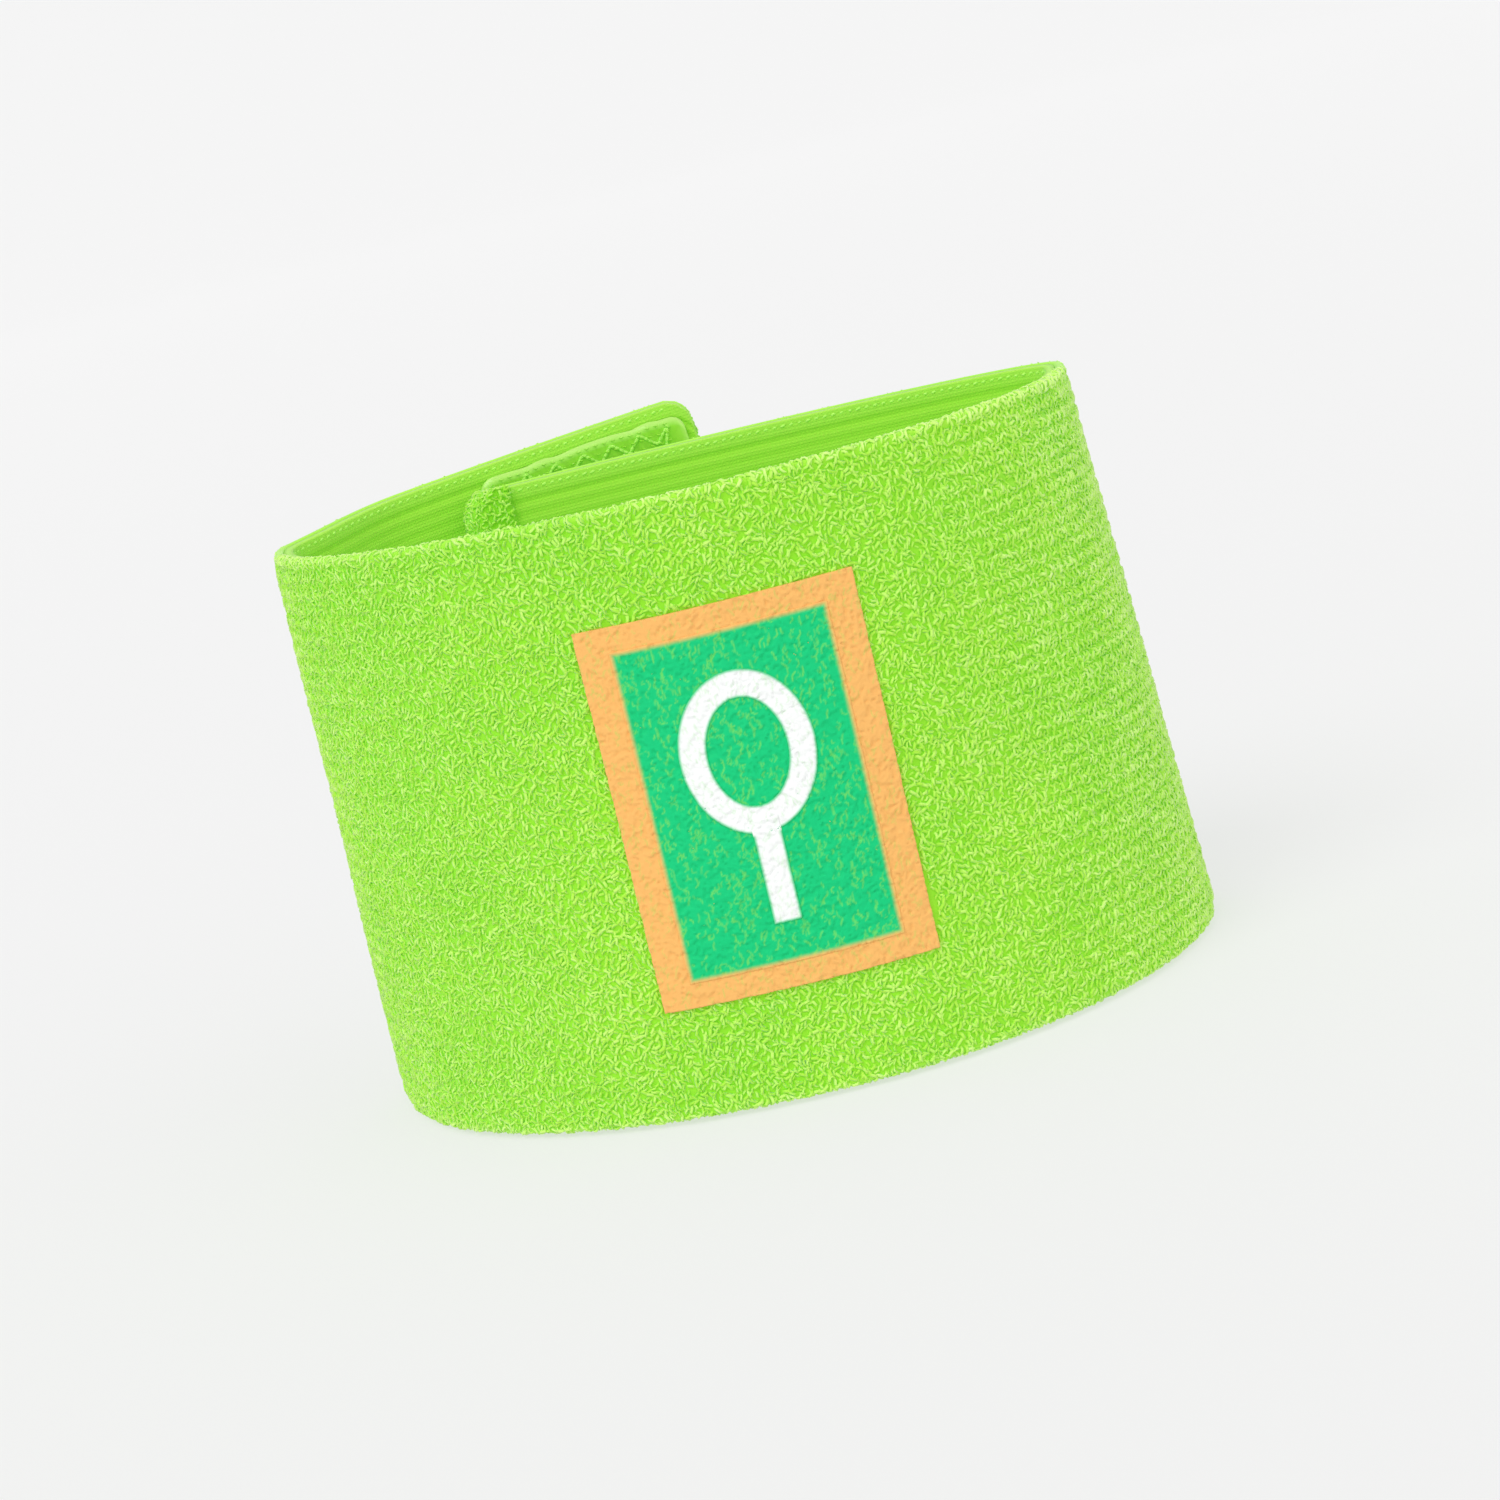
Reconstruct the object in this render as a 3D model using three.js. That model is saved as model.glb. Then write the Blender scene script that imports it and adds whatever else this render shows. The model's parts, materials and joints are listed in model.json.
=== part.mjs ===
// Adjustable sweat wristband: a strip of terry elastic bent into a loop, lapped and closed at the back
// by a hook tab, with a small printed badge on the front. Millimetres, +Z up, foot on z = 0.
// x runs across the wrist, y from the badge to the closure. Both folds stand on the plane y = 0, which
// splits the loop into a deep front half ellipse and a shallow back one.
import * as THREE from 'three';

// Driving dimensions.
const bandHeight = 50;
const widthAtFoot = 74.4;
const widthAtRim = 70.2;
const rimShift = -0.9; // how far the rim's centre stands to the left of the foot's
const frontDepthAtFoot = 28.9;
const frontDepthAtRim = 26.9;
const backDepth = 9.4;

const pileThickness = 1.1; // looped outer face of the strip
const liningThickness = 0.7; // knitted elastic inner face
const layerGap = 0.1; // between two sewn layers
const seamGap = 0.16; // between two bodies at a fold
const edgeRound = 0.35; // rounding of the pile's long edges
const liningInset = 0.3; // the lining stops short of the pile's long edges

const underEndX = -20.3; // free end of the under strap
const tabHingeX = -15.5; // where the tab starts to peel
const tabEndX = 3.9; // free end of the tab
const lapStartX = -23; // from here on the outer strap runs parallel to the under strap
const slant = 5.6; // degrees that the outer strap climbs from the left fold
const tabCorner = 2.2;
const underCorner = 3.4;
const lapClearance = 0.35; // between the hook side of the tab and the under strap

const hookTapeThickness = 0.8;
const hookTapeMargin = 0.7; // from the edge stitching
const hookTapeStart = 0.6; // from the peel line
const hookTapeEnd = 0.9; // to the tab's free end

const wrapThickness = 0.55; // pile turned round the under strap's end
const wrapLength = 3.9;
const wrapInset = 0.2; // the wrap stops short of the long edges
const wrapBow = 0.35; // chamfer of the wrap's turned edge

const threadWidth = 0.5;
const threadHeight = 0.25;
const edgeStitchInset = 0.85; // from the long edges
const tapeStitchInset = 1.4; // from the hook tape's edges
const tackHeight = 24; // bar tack that closes the wrap
const tackInset = 0.8; // from the wrap's cut edge

const badgeCentreX = -0.2;
const badgeCentreZ = 25.1;
const badgeWidth = 22.6;
const badgeHeight = 31.4;
const badgeSideBorder = 2.75;
const badgeEndBorder = 2.4;
const filmThickness = 0.2;
const markStroke = 2;
const markHeadWidth = 10.6;
const markHeadHeight = 13;
const markHandleLength = 7.4;

const rowHeight = 8; // facets up the height of the outer strap
const cornerShares = [0.6, 0.3, 0.1, 0.02]; // stations round a free end's corner, as shares of its radius
const frontStations = 44;
const strapStations = 18;

// Derived sizes.
const wallThickness = pileThickness + layerGap + liningThickness;
const lapRoom = Math.max(threadHeight, layerGap + wrapThickness) + lapClearance;
const lapOffset = wallThickness + layerGap * 2 + hookTapeThickness + lapRoom;
const slope = Math.tan(THREE.MathUtils.degToRad(slant));
const midHeight = bandHeight / 2;
const { lerp, smoothstep, clamp } = THREE.MathUtils;

const lime = { color: 0xa0e748, roughness: 0.95, metalness: 0 };
const limeLining = { color: 0x90df34, roughness: 0.9, metalness: 0 };
const limeThread = { color: 0xb4ee6a, roughness: 0.8, metalness: 0 };
const hookNylon = { color: 0xb6e88a, roughness: 0.6, metalness: 0 };
const orangeFilm = { color: 0xfac16d, roughness: 0.55, metalness: 0 };
const greenFilm = { color: 0x29d280, roughness: 0.55, metalness: 0 };
const whiteFilm = { color: 0xf8fafb, roughness: 0.55, metalness: 0 };

// The loop at height z: centre, half width and front depth all run straight from foot to rim.
const centreAt = (z) => rimShift * (z / bandHeight);
const halfWidthAt = (z) => lerp(widthAtFoot, widthAtRim, z / bandHeight) / 2;
const frontDepthAt = (z) => lerp(frontDepthAtFoot, frontDepthAtRim, z / bandHeight);

// A point of the loop. The angle is 0 at the right fold, PI at the left one and goes on round the
// front. The offset grows both half axes, outwards when positive.
function loopPoint(angle, z, offset) {
  const depth = angle > Math.PI ? frontDepthAt(z) : backDepth;
  const x = centreAt(z) + (halfWidthAt(z) + offset) * Math.cos(angle);
  return new THREE.Vector3(x, (depth + offset) * Math.sin(angle), z);
}

// Angle of the back half where the outer face stands at x.
const backAngle = (x, z) => Math.acos(clamp((x - centreAt(z)) / halfWidthAt(z), -1, 1));
const frontAngle = (x, z) => 2 * Math.PI - backAngle(x, z);

// Places on each stretch of the strip: u along it, w outwards from the outer face, t up its height.
// The folds keep half a seam gap on either side.
const foldAngle = seamGap / 2 / backDepth;
const frontFoldAngle = (z) => seamGap / 2 / frontDepthAt(z);

function frontPlace(u, w, t) {
  const margin = frontFoldAngle(t);
  return loopPoint(lerp(Math.PI + margin, 2 * Math.PI - margin, u), t, w);
}

function underPlace(x, w, t) {
  return loopPoint(Math.max(backAngle(x, t), foldAngle), t, w);
}

// The outer strap leans with its slant: lines across it tilt back by the same slope as it climbs.
function outerPlace(x, w, t) {
  const foldX = centreAt(t) - halfWidthAt(t);
  const z = t + (x - foldX) * slope;
  const angle = Math.min(backAngle(x, z), Math.PI - foldAngle);
  const lift = lapOffset * smoothstep(x, foldX, lapStartX);
  return loopPoint(angle, z, w + lift);
}

const leaned = (x, t) => x - (t - midHeight) * slope;

// Outer strap from the left fold (u = 0) to the peel line (u = 1), spaced evenly round the fold.
function leftPlace(u, w, t) {
  const foldX = centreAt(t) - halfWidthAt(t);
  const endX = leaned(tabHingeX, t) - seamGap / 2;
  return outerPlace(lerp(foldX, endX, fromFold(u)), w, t);
}

const tabPlace = (x, w, t) => outerPlace(leaned(x, t), w, t);

// Section loops, in (w, t).
function roundedBox(wLow, wHigh, tLow, tHigh, radius) {
  const shape = new THREE.Shape();
  shape.absarc(wHigh - radius, tLow + radius, radius, -Math.PI / 2, 0, false);
  shape.absarc(wHigh - radius, tHigh - radius, radius, 0, Math.PI / 2, false);
  shape.absarc(wLow + radius, tHigh - radius, radius, Math.PI / 2, Math.PI, false);
  shape.absarc(wLow + radius, tLow + radius, radius, Math.PI, 1.5 * Math.PI, false);
  return shape.extractPoints(2).shape.map((point) => [point.x, point.y]);
}

const box = (aLow, aHigh, bLow, bHigh) => [[aLow, bLow], [aHigh, bLow], [aHigh, bHigh], [aLow, bHigh]];

// The same loop with its long sides in rows, for stretches that twist as they climb.
function inRows(loop) {
  return loop.flatMap(([a, b], i) => {
    const [nextA, nextB] = loop[(i + 1) % loop.length];
    const rows = Math.max(Math.round(Math.abs(nextB - b) / rowHeight), 1);
    return evenly(rows, 0, 1).slice(0, -1).map((share) => [lerp(a, nextA, share), lerp(b, nextB, share)]);
  });
}

const evenly = (count, from, to) => Array.from({ length: count + 1 }, (_, i) => lerp(from, to, i / count));

// Triangles that close an end. A section that climbs steadily on both sides is laced from side to side,
// starting at its lowest edge. Any other outline is cut by ears.
function lacedCap(outline) {
  const triangles = [];
  let rising = 0;
  let falling = outline.length - 1;
  while (falling - rising > 1) {
    if (outline[rising + 1].y < outline[falling - 1].y) {
      triangles.push([rising, rising + 1, falling]);
      rising += 1;
    } else {
      triangles.push([rising, falling - 1, falling]);
      falling -= 1;
    }
  }
  return triangles;
}

const earCap = (outline) => THREE.ShapeUtils.triangulateShape(outline, []);

// Closed body through one anticlockwise loop of (a, b) points at each station: place(station, a, b)
// gives the point.
function sweep(stations, loopAt, place, closed = false, capOf = lacedCap) {
  const loops = stations.map(loopAt);
  const size = loops[0].length;
  const positions = loops.flatMap((loop, i) => loop.flatMap(([a, b]) => place(stations[i], a, b).toArray()));
  const index = [];
  const rings = closed ? stations.length : stations.length - 1;
  for (let i = 0; i < rings; i += 1) {
    const here = i * size;
    const next = ((i + 1) % stations.length) * size;
    for (let j = 0; j < size; j += 1) {
      const k = (j + 1) % size;
      index.push(here + j, here + k, next + k, here + j, next + k, next + j);
    }
  }
  if (!closed) {
    const outline = loops[0].map(([a, b]) => new THREE.Vector2(a, b));
    const last = (stations.length - 1) * size;
    for (const [a, b, c] of capOf(outline)) {
      index.push(c, b, a, last + a, last + b, last + c);
    }
  }
  const geometry = new THREE.BufferGeometry();
  geometry.setAttribute('position', new THREE.Float32BufferAttribute(positions, 3));
  geometry.setIndex(index);
  return facingOut(geometry);
}

// Turns every triangle round when the body is inside out.
function facingOut(geometry) {
  const position = geometry.getAttribute('position');
  const corners = Array.from(geometry.index.array);
  const at = (i) => new THREE.Vector3().fromBufferAttribute(position, i);
  let volume = 0;
  for (let i = 0; i < corners.length; i += 3) {
    volume += at(corners[i]).dot(at(corners[i + 1]).cross(at(corners[i + 2])));
  }
  if (volume < 0) geometry.setIndex(corners.reverse());
  return geometry;
}

// A sewn thread as a low ridge along a line of (along, t) points on a face at w, standing inwards.
function threadAlong(line, w, place, closed = false) {
  const count = line.length;
  const half = threadWidth / 2;
  const at = (i) => new THREE.Vector2(...line[closed ? (i + count) % count : clamp(i, 0, count - 1)]);
  const top = w - threadHeight;
  const section = () => [[-half / 2, top], [half / 2, top], [half, w], [-half, w]];
  const ridge = (i, across, depth) => {
    const before = at(i).sub(at(i - 1));
    const after = at(i + 1).sub(at(i));
    if (before.lengthSq() === 0) before.copy(after);
    if (after.lengthSq() === 0) after.copy(before);
    const heading = before.normalize().add(after.normalize()).normalize();
    const mitre = across / Math.max(heading.dot(after), 0.5);
    const point = at(i).add(new THREE.Vector2(-heading.y, heading.x).multiplyScalar(mitre));
    return place(point.x, depth, point.y);
  };
  return sweep(line.map((_, i) => i), section, ridge, closed);
}

// How much of the height is lost at a distance from a free end with rounded corners.
function cornerLoss(distance, radius) {
  const inside = Math.max(radius - distance, 0);
  return radius - Math.sqrt(radius * radius - inside * inside);
}

const aboutMiddle = (t, loss) => midHeight + (t - midHeight) * (1 - loss / midHeight);

// Stations along x that crowd round a fold, spaced evenly in angle.
const fromFold = (u) => 1 - Math.cos((u * Math.PI) / 2);
const easedFromFold = (count, foldX, endX) => evenly(count, 0, 1).map((u) => lerp(foldX, endX, fromFold(u)));

// Stations along x that crowd towards a free end with a rounded corner.
function towardsEnd(startX, endX, radius, count) {
  const side = Math.sign(endX - startX);
  const rounded = cornerShares.map((share) => endX - side * radius * share);
  return [...evenly(count, startX, endX - side * radius), ...rounded, endX];
}

// The thread that binds both long edges of a stretch, on its inner face.
function edgeThreads(stretch, stations, place) {
  const top = innerFace - threadHeight;
  for (const [edge, t] of Object.entries({ rim: bandHeight - edgeStitchInset, foot: edgeStitchInset })) {
    const section = [[innerFace, t - threadWidth / 2], [innerFace, t + threadWidth / 2],
      [top, t + threadWidth / 4], [top, t - threadWidth / 4]];
    add(`${stretch}_${edge}_stitch`, sweep(stations, () => section, place), limeThread);
  }
}

const pileSection = roundedBox(-pileThickness, 0, 0, bandHeight, edgeRound);
const liningSection = box(-wallThickness, -pileThickness - layerGap, liningInset, bandHeight - liningInset);
const twistedPile = inRows(pileSection);
const twistedLining = inRows(liningSection);
const innerFace = -wallThickness - layerGap;

const part = new THREE.Group();

function add(name, geometry, look) {
  const material = new THREE.MeshStandardMaterial(look);
  geometry.computeVertexNormals();
  const mesh = new THREE.Mesh(geometry, material);
  mesh.name = name;
  part.add(mesh);
}

function frontPanel() {
  const stations = evenly(frontStations, 0, 1);
  add('front_pile', sweep(stations, () => pileSection, frontPlace), lime);
  add('front_lining', sweep(stations, () => liningSection, frontPlace), limeLining);
  edgeThreads('front', stations, frontPlace);
}

// Printed film on the front: base, field and mark lie on each other.
function badge() {
  const place = (x, w, t) => loopPoint(frontAngle(x, t), t, w);
  const film = (sideInset, endInset, layer) => {
    const half = badgeWidth / 2 - sideInset;
    const low = layer * (filmThickness + layerGap) + layerGap;
    const tall = badgeHeight / 2 - endInset;
    const section = box(low, low + filmThickness, badgeCentreZ - tall, badgeCentreZ + tall);
    return sweep(evenly(14, badgeCentreX - half, badgeCentreX + half), () => section, place);
  };
  add('badge_base', film(0, 0, 0), orangeFilm);
  add('badge_field', film(badgeSideBorder, badgeEndBorder, 1), greenFilm);
  add('badge_mark', racketMark(place, 2 * (filmThickness + layerGap) + layerGap), whiteFilm);
}

// A plain racket outline: an oval ring on a straight handle.
function racketMark(place, low) {
  const headX = markHeadWidth / 2;
  const headZ = markHeadHeight / 2;
  const half = markStroke / 2;
  const foot = badgeCentreZ - (markHeadHeight + markHandleLength) / 2;
  const headCentre = foot + markHandleLength + headZ;
  const joint = Math.acos(half / headX);
  const shape = new THREE.Shape();
  shape.moveTo(badgeCentreX - half, foot);
  shape.lineTo(badgeCentreX + half, foot);
  shape.absellipse(badgeCentreX, headCentre, headX, headZ, -joint, Math.PI + joint, false);
  shape.closePath();
  const hole = new THREE.Path();
  hole.absellipse(badgeCentreX, headCentre, headX - markStroke, headZ - markStroke, 0, 2 * Math.PI, true);
  shape.holes.push(hole);
  const options = { depth: filmThickness, bevelEnabled: false, curveSegments: 18 };
  const flat = new THREE.ExtrudeGeometry(shape, options);
  const position = flat.getAttribute('position');
  for (let i = 0; i < position.count; i += 1) {
    const point = place(position.getX(i), low + position.getZ(i), position.getY(i));
    position.setXYZ(i, point.x, point.y, point.z);
  }
  return flat;
}

function leftStrap() {
  const stations = evenly(strapStations, 0, 1);
  add('left_pile', sweep(stations, () => twistedPile, leftPlace), lime);
  add('left_lining', sweep(stations, () => twistedLining, leftPlace), limeLining);
  edgeThreads('left', stations, leftPlace);
}

function tab() {
  const start = tabHingeX + seamGap / 2;
  const stations = towardsEnd(start, tabEndX, tabCorner, 8);
  const rounded = (section) => (x) => {
    const loss = cornerLoss(tabEndX - x, tabCorner);
    return section.map(([w, t]) => [w, aboutMiddle(t, loss)]);
  };
  add('tab_pile', sweep(stations, rounded(twistedPile), tabPlace), lime);
  add('tab_lining', sweep(stations, rounded(twistedLining), tabPlace), limeLining);

  const tapeLow = hookTapeMargin + edgeStitchInset;
  const tapeStartX = tabHingeX + hookTapeStart;
  const tapeEndX = tabEndX - hookTapeEnd;
  const tape = inRows(box(innerFace - hookTapeThickness, innerFace, tapeLow, bandHeight - tapeLow));
  add('hook_tape', sweep(evenly(8, tapeStartX, tapeEndX), () => tape, tabPlace), hookNylon);

  const low = tapeLow + tapeStitchInset;
  const high = bandHeight - low;
  const left = tapeStartX + tapeStitchInset;
  const right = tapeEndX - tapeStitchInset;
  const across = (from, to, t) => evenly(8, from, to).slice(0, -1).map((x) => [x, t]);
  const up = (from, to, x) => evenly(4, from, to).slice(0, -1).map((t) => [x, t]);
  const ring = [...across(left, right, low), ...up(low, high, right),
    ...across(right, left, high), ...up(high, low, left)];
  const tapeFace = innerFace - hookTapeThickness - layerGap;
  add('hook_tape_stitch', threadAlong(ring, tapeFace, tabPlace, true), limeThread);
  edgeThreads('tab', evenly(8, start, tabEndX - tabCorner), tabPlace);
}

function rightStrap() {
  const strapEndX = underEndX + wrapThickness + layerGap;
  const rightX = centreAt(0) + halfWidthAt(0);
  const rounds = cornerShares.map((share) => strapEndX + underCorner * share);
  const stations = [...easedFromFold(strapStations, rightX, strapEndX + underCorner), ...rounds, strapEndX];
  const place = (x, w, t) => {
    const startX = centreAt(t) + halfWidthAt(t);
    const share = (rightX - x) / (rightX - strapEndX);
    return underPlace(lerp(startX, strapEndX, share), w, t);
  };
  const rounded = (section) => (x) => {
    const loss = cornerLoss(x - strapEndX, underCorner);
    return section.map(([w, t]) => [w, aboutMiddle(t, loss)]);
  };
  add('right_pile', sweep(stations, rounded(pileSection), place), lime);
  add('right_lining', sweep(stations, rounded(liningSection), place), limeLining);
  const wrapEdgeX = underEndX + wrapLength;
  edgeThreads('right', easedFromFold(24, rightX, wrapEdgeX + threadWidth), place);
}

// Pile turned round the under strap's free end, and the bar tack that holds it.
function endWrap() {
  const backX = underEndX + wrapLength;
  const outer = layerGap + wrapThickness;
  const innerW = innerFace - wrapThickness;
  const slotX = underEndX + wrapThickness;
  const profile = [[backX, outer], [underEndX + wrapBow, outer], [underEndX, outer - wrapBow],
    [underEndX, innerW + wrapBow], [underEndX + wrapBow, innerW], [backX, innerW],
    [backX, innerFace], [slotX, innerFace], [slotX, layerGap], [backX, layerGap]];
  const low = wrapInset;
  const high = bandHeight - wrapInset;
  const rise = underCorner - wrapThickness;
  const rises = [0, 0.02, 0.1, 0.4, 1].map((share) => share * rise);
  const heights = [...rises.map((up) => low + up), midHeight, ...rises.map((up) => high - up).reverse()];
  const loopAt = (t) => {
    const loss = cornerLoss(Math.min(t - low, high - t), rise);
    return profile.map(([x, w]) => [lerp(x, backX, loss / wrapLength), w]);
  };
  add('end_wrap', sweep(heights, loopAt, (t, x, w) => underPlace(x, w, t), false, earCap), lime);
  const tackX = backX - tackInset;
  const tack = evenly(6, midHeight - tackHeight / 2, midHeight + tackHeight / 2).map((t) => [tackX, t]);
  add('end_wrap_stitch', threadAlong(tack, innerW - layerGap, underPlace), limeThread);
}

frontPanel();
badge();
leftStrap();
tab();
rightStrap();
endWrap();

// The origin is under the middle of the whole, on the foot.
const bounds = new THREE.Box3().setFromObject(part);
const middle = bounds.getCenter(new THREE.Vector3());
part.position.set(-middle.x, -middle.y, -bounds.min.z);

export default part;
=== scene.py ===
import json
import math

import bpy
import numpy as np
from mathutils import Matrix, Vector


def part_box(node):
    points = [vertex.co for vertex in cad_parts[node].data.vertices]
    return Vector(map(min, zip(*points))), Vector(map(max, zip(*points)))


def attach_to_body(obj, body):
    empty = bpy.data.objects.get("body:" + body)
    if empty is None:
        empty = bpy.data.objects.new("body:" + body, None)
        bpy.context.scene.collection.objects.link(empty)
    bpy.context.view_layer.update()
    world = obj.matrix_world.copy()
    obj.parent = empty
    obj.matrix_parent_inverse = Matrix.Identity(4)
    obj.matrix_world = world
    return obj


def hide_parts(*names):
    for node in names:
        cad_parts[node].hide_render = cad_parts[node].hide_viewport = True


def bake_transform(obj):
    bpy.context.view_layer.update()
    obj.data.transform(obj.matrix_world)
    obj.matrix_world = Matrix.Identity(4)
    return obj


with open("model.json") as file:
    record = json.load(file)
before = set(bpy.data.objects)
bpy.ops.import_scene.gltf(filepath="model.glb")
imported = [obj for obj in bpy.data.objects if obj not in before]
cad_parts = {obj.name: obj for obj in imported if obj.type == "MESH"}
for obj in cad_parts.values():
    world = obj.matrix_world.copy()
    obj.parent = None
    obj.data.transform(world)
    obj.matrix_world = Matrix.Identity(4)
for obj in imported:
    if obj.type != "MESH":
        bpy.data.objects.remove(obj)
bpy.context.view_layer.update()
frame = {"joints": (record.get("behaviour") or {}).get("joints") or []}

mm = 0.001

# The camera comes first. It stands straight before the badge, above the rim, and is rolled.
view = {"distance": 260.0, "eyeHeight": 78.6, "pitch": 12.09, "roll": 13.57, "lens": 72.58, "sensor": 36.0,
        "near": 0.01, "far": 20.0}

# What the CAD part is drawn from, in mm and degrees. Widths and heights come from the frame.
band = {
    "rimWidth": 70.2, "rimShift": -0.9, "footDepth": 28.9, "rimDepth": 26.9, "backDepth": 9.4,
    "pile": 1.1, "layerGap": 0.1, "lining": 0.7, "seamGap": 0.16,
    "slant": 5.6, "peelX": -15.5, "tabEndX": 3.9, "tabCorner": 2.2, "lapStartX": -23.0, "lap": 3.9,
    "underEndX": -20.3, "underCorner": 3.4, "wrap": 0.55, "wrapLength": 3.9,
}
pileLow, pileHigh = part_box("front_pile")
band["height"] = (pileHigh.z - pileLow.z) / mm
band["footWidth"] = (pileHigh.x - pileLow.x) / mm
foldY = pileHigh.y / mm + band["seamGap"] / 2
wall = band["pile"] + band["layerGap"] + band["lining"]
slope = math.tan(math.radians(band["slant"]))
middle = band["height"] / 2


def inScene(name, data):
    placed = bpy.data.objects.new(name, data)
    bpy.context.scene.collection.objects.link(placed)
    return placed


def makeCamera():
    data = bpy.data.cameras.new("camera")
    data.lens = view["lens"]
    data.sensor_width = view["sensor"]
    data.clip_start = view["near"]
    data.clip_end = view["far"]
    camera = inScene("camera", data)
    place = Vector((0, (foldY - view["distance"]) * mm, view["eyeHeight"] * mm))
    tilt = Matrix.Rotation(math.radians(90 - view["pitch"]), 4, "X")
    roll = Matrix.Rotation(math.radians(-view["roll"]), 4, "Z")
    camera.matrix_world = Matrix.Translation(place) @ tilt @ roll
    bpy.context.scene.camera = camera


makeCamera()


# The strip: one long band, laid round the wrist.

def mix(a, b, share):
    return a + (b - a) * share


def smooth(value, low, high):
    share = np.clip((value - low) / (high - low), 0, 1)
    return share * share * (3 - 2 * share)


def centreAt(z):
    return band["rimShift"] * z / band["height"]


def halfAt(z):
    return mix(band["footWidth"], band["rimWidth"], z / band["height"]) / 2


def loopPoints(angle, z, offset):
    front = mix(band["footDepth"], band["rimDepth"], z / band["height"])
    depth = np.where(angle > math.pi, front, band["backDepth"])
    x = centreAt(z) + (halfAt(z) + offset) * np.cos(angle)
    y = (depth + offset) * np.sin(angle) + foldY
    return np.stack(np.broadcast_arrays(x, y, z), -1) * mm


def backAngle(x, z):
    return np.arccos(np.clip((x - centreAt(z)) / halfAt(z), -1, 1))


# x is measured at mid height; the strap leans and climbs towards its tab.
def outerPoints(x, w, t):
    foldX = centreAt(t) - halfAt(t)
    foldMid = centreAt(middle) - halfAt(middle)
    lean = (t - middle) * slope
    share = np.clip((x - foldMid) / (band["peelX"] - foldMid), 0, 1)
    x = np.where(share < 1, mix(foldX, band["peelX"] - lean, share), x - lean)
    z = t + (x - foldX) * slope
    lift = band["lap"] * smooth(x, foldX, band["lapStartX"])
    return loopPoints(backAngle(x, z), z, w + lift)


strapEndX = band["underEndX"] + band["wrap"] + band["layerGap"]


def underPoints(x, w, t):
    startMid = centreAt(middle) + halfAt(middle)
    share = (startMid - x) / (startMid - strapEndX)
    return loopPoints(backAngle(mix(centreAt(t) + halfAt(t), strapEndX, share), t), t, w)


# Lengths along the strip at mid height, from the tab's free end to the under strap's.
def lengthTable(count=4000):
    ease = 1 - np.cos(np.linspace(0, math.pi / 2, count))
    outerX = mix(centreAt(middle) - halfAt(middle), band["tabEndX"], ease)[::-1]
    angles = np.linspace(math.pi, 2 * math.pi, count)
    underX = mix(centreAt(middle) + halfAt(middle), strapEndX, ease)
    flat = np.zeros(count)
    lines = [outerPoints(outerX, flat, flat + middle),
             loopPoints(angles + 1e-9, flat + middle, flat),  # a hair past the fold, on the front
             underPoints(underX, flat, flat + middle)]
    gaps = [np.linalg.norm(np.diff(line, axis=0), axis=1) for line in lines]
    lengths = [np.concatenate([[0], np.cumsum(gap)]) / mm for gap in gaps]
    return (outerX, angles, underX), lengths


stretchParams, stretchLengths = lengthTable()
leftFold = stretchLengths[0][-1]
rightFold = leftFold + stretchLengths[1][-1]
stripEnd = rightFold + stretchLengths[2][-1]
peel = float(np.interp(-band["peelX"], -stretchParams[0], stretchLengths[0]))
badgeMiddle = (leftFold + rightFold) / 2
print(f"strip {stripEnd:.1f} mm long, peel {peel:.1f}, folds {leftFold:.1f} and {rightFold:.1f}")


# Points of the band, s mm along it, w mm out from its outer face and t mm up it.
def stripPoints(s, w, t):
    s, w, t = np.broadcast_arrays(np.asarray(s, float), w, t)
    w = w + ripple(s, t)
    points = np.empty(s.shape + (3,))
    tabSide = s <= leftFold
    underSide = s >= rightFold
    front = ~tabSide & ~underSide
    along = np.interp(s[tabSide], stretchLengths[0], stretchParams[0])
    points[tabSide] = outerPoints(along, w[tabSide], t[tabSide])
    angle = np.interp(s[front] - leftFold, stretchLengths[1], stretchParams[1])
    points[front] = loopPoints(angle, t[front], w[front])
    along = np.interp(s[underSide] - rightFold, stretchLengths[2], stretchParams[2])
    points[underSide] = underPoints(along, w[underSide], t[underSide])
    return points


# The slack waviness of worn elastic, the same in every layer, none where the lap is tight.
slack = {"depth": 0.09, "leftFrom": 8, "leftTo": 6, "rightFrom": 4, "rightTo": 10}


def ripple(s, t):
    loose = (smooth(s, leftFold - slack["leftFrom"], leftFold + slack["leftTo"])
             * (1 - smooth(s, rightFold - slack["rightFrom"], rightFold + slack["rightTo"])))
    wave = np.sin(s * 0.31 + 0.8) * np.sin(t * 0.12 + 0.4) + 0.7 * np.sin(s * 0.17 - t * 0.21 + 2.0)
    return slack["depth"] * wave * loose


def quadsOf(*corners):
    return np.stack(corners, -1).reshape(-1, 4).tolist()


def writeUv(mesh, across, up):
    corner = np.empty(len(mesh.loops), np.int32)
    mesh.loops.foreach_get("vertex_index", corner)
    places = np.stack([across.ravel(), up.ravel()], -1)[corner]
    mesh.uv_layers.new(name="UVMap").data.foreach_set("uv", places.astype(np.float32).ravel())


def writeValues(mesh, label, values):
    attribute = mesh.attributes.new(label, "FLOAT", "POINT")
    attribute.data.foreach_set("value", values.astype(np.float32).ravel())


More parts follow.
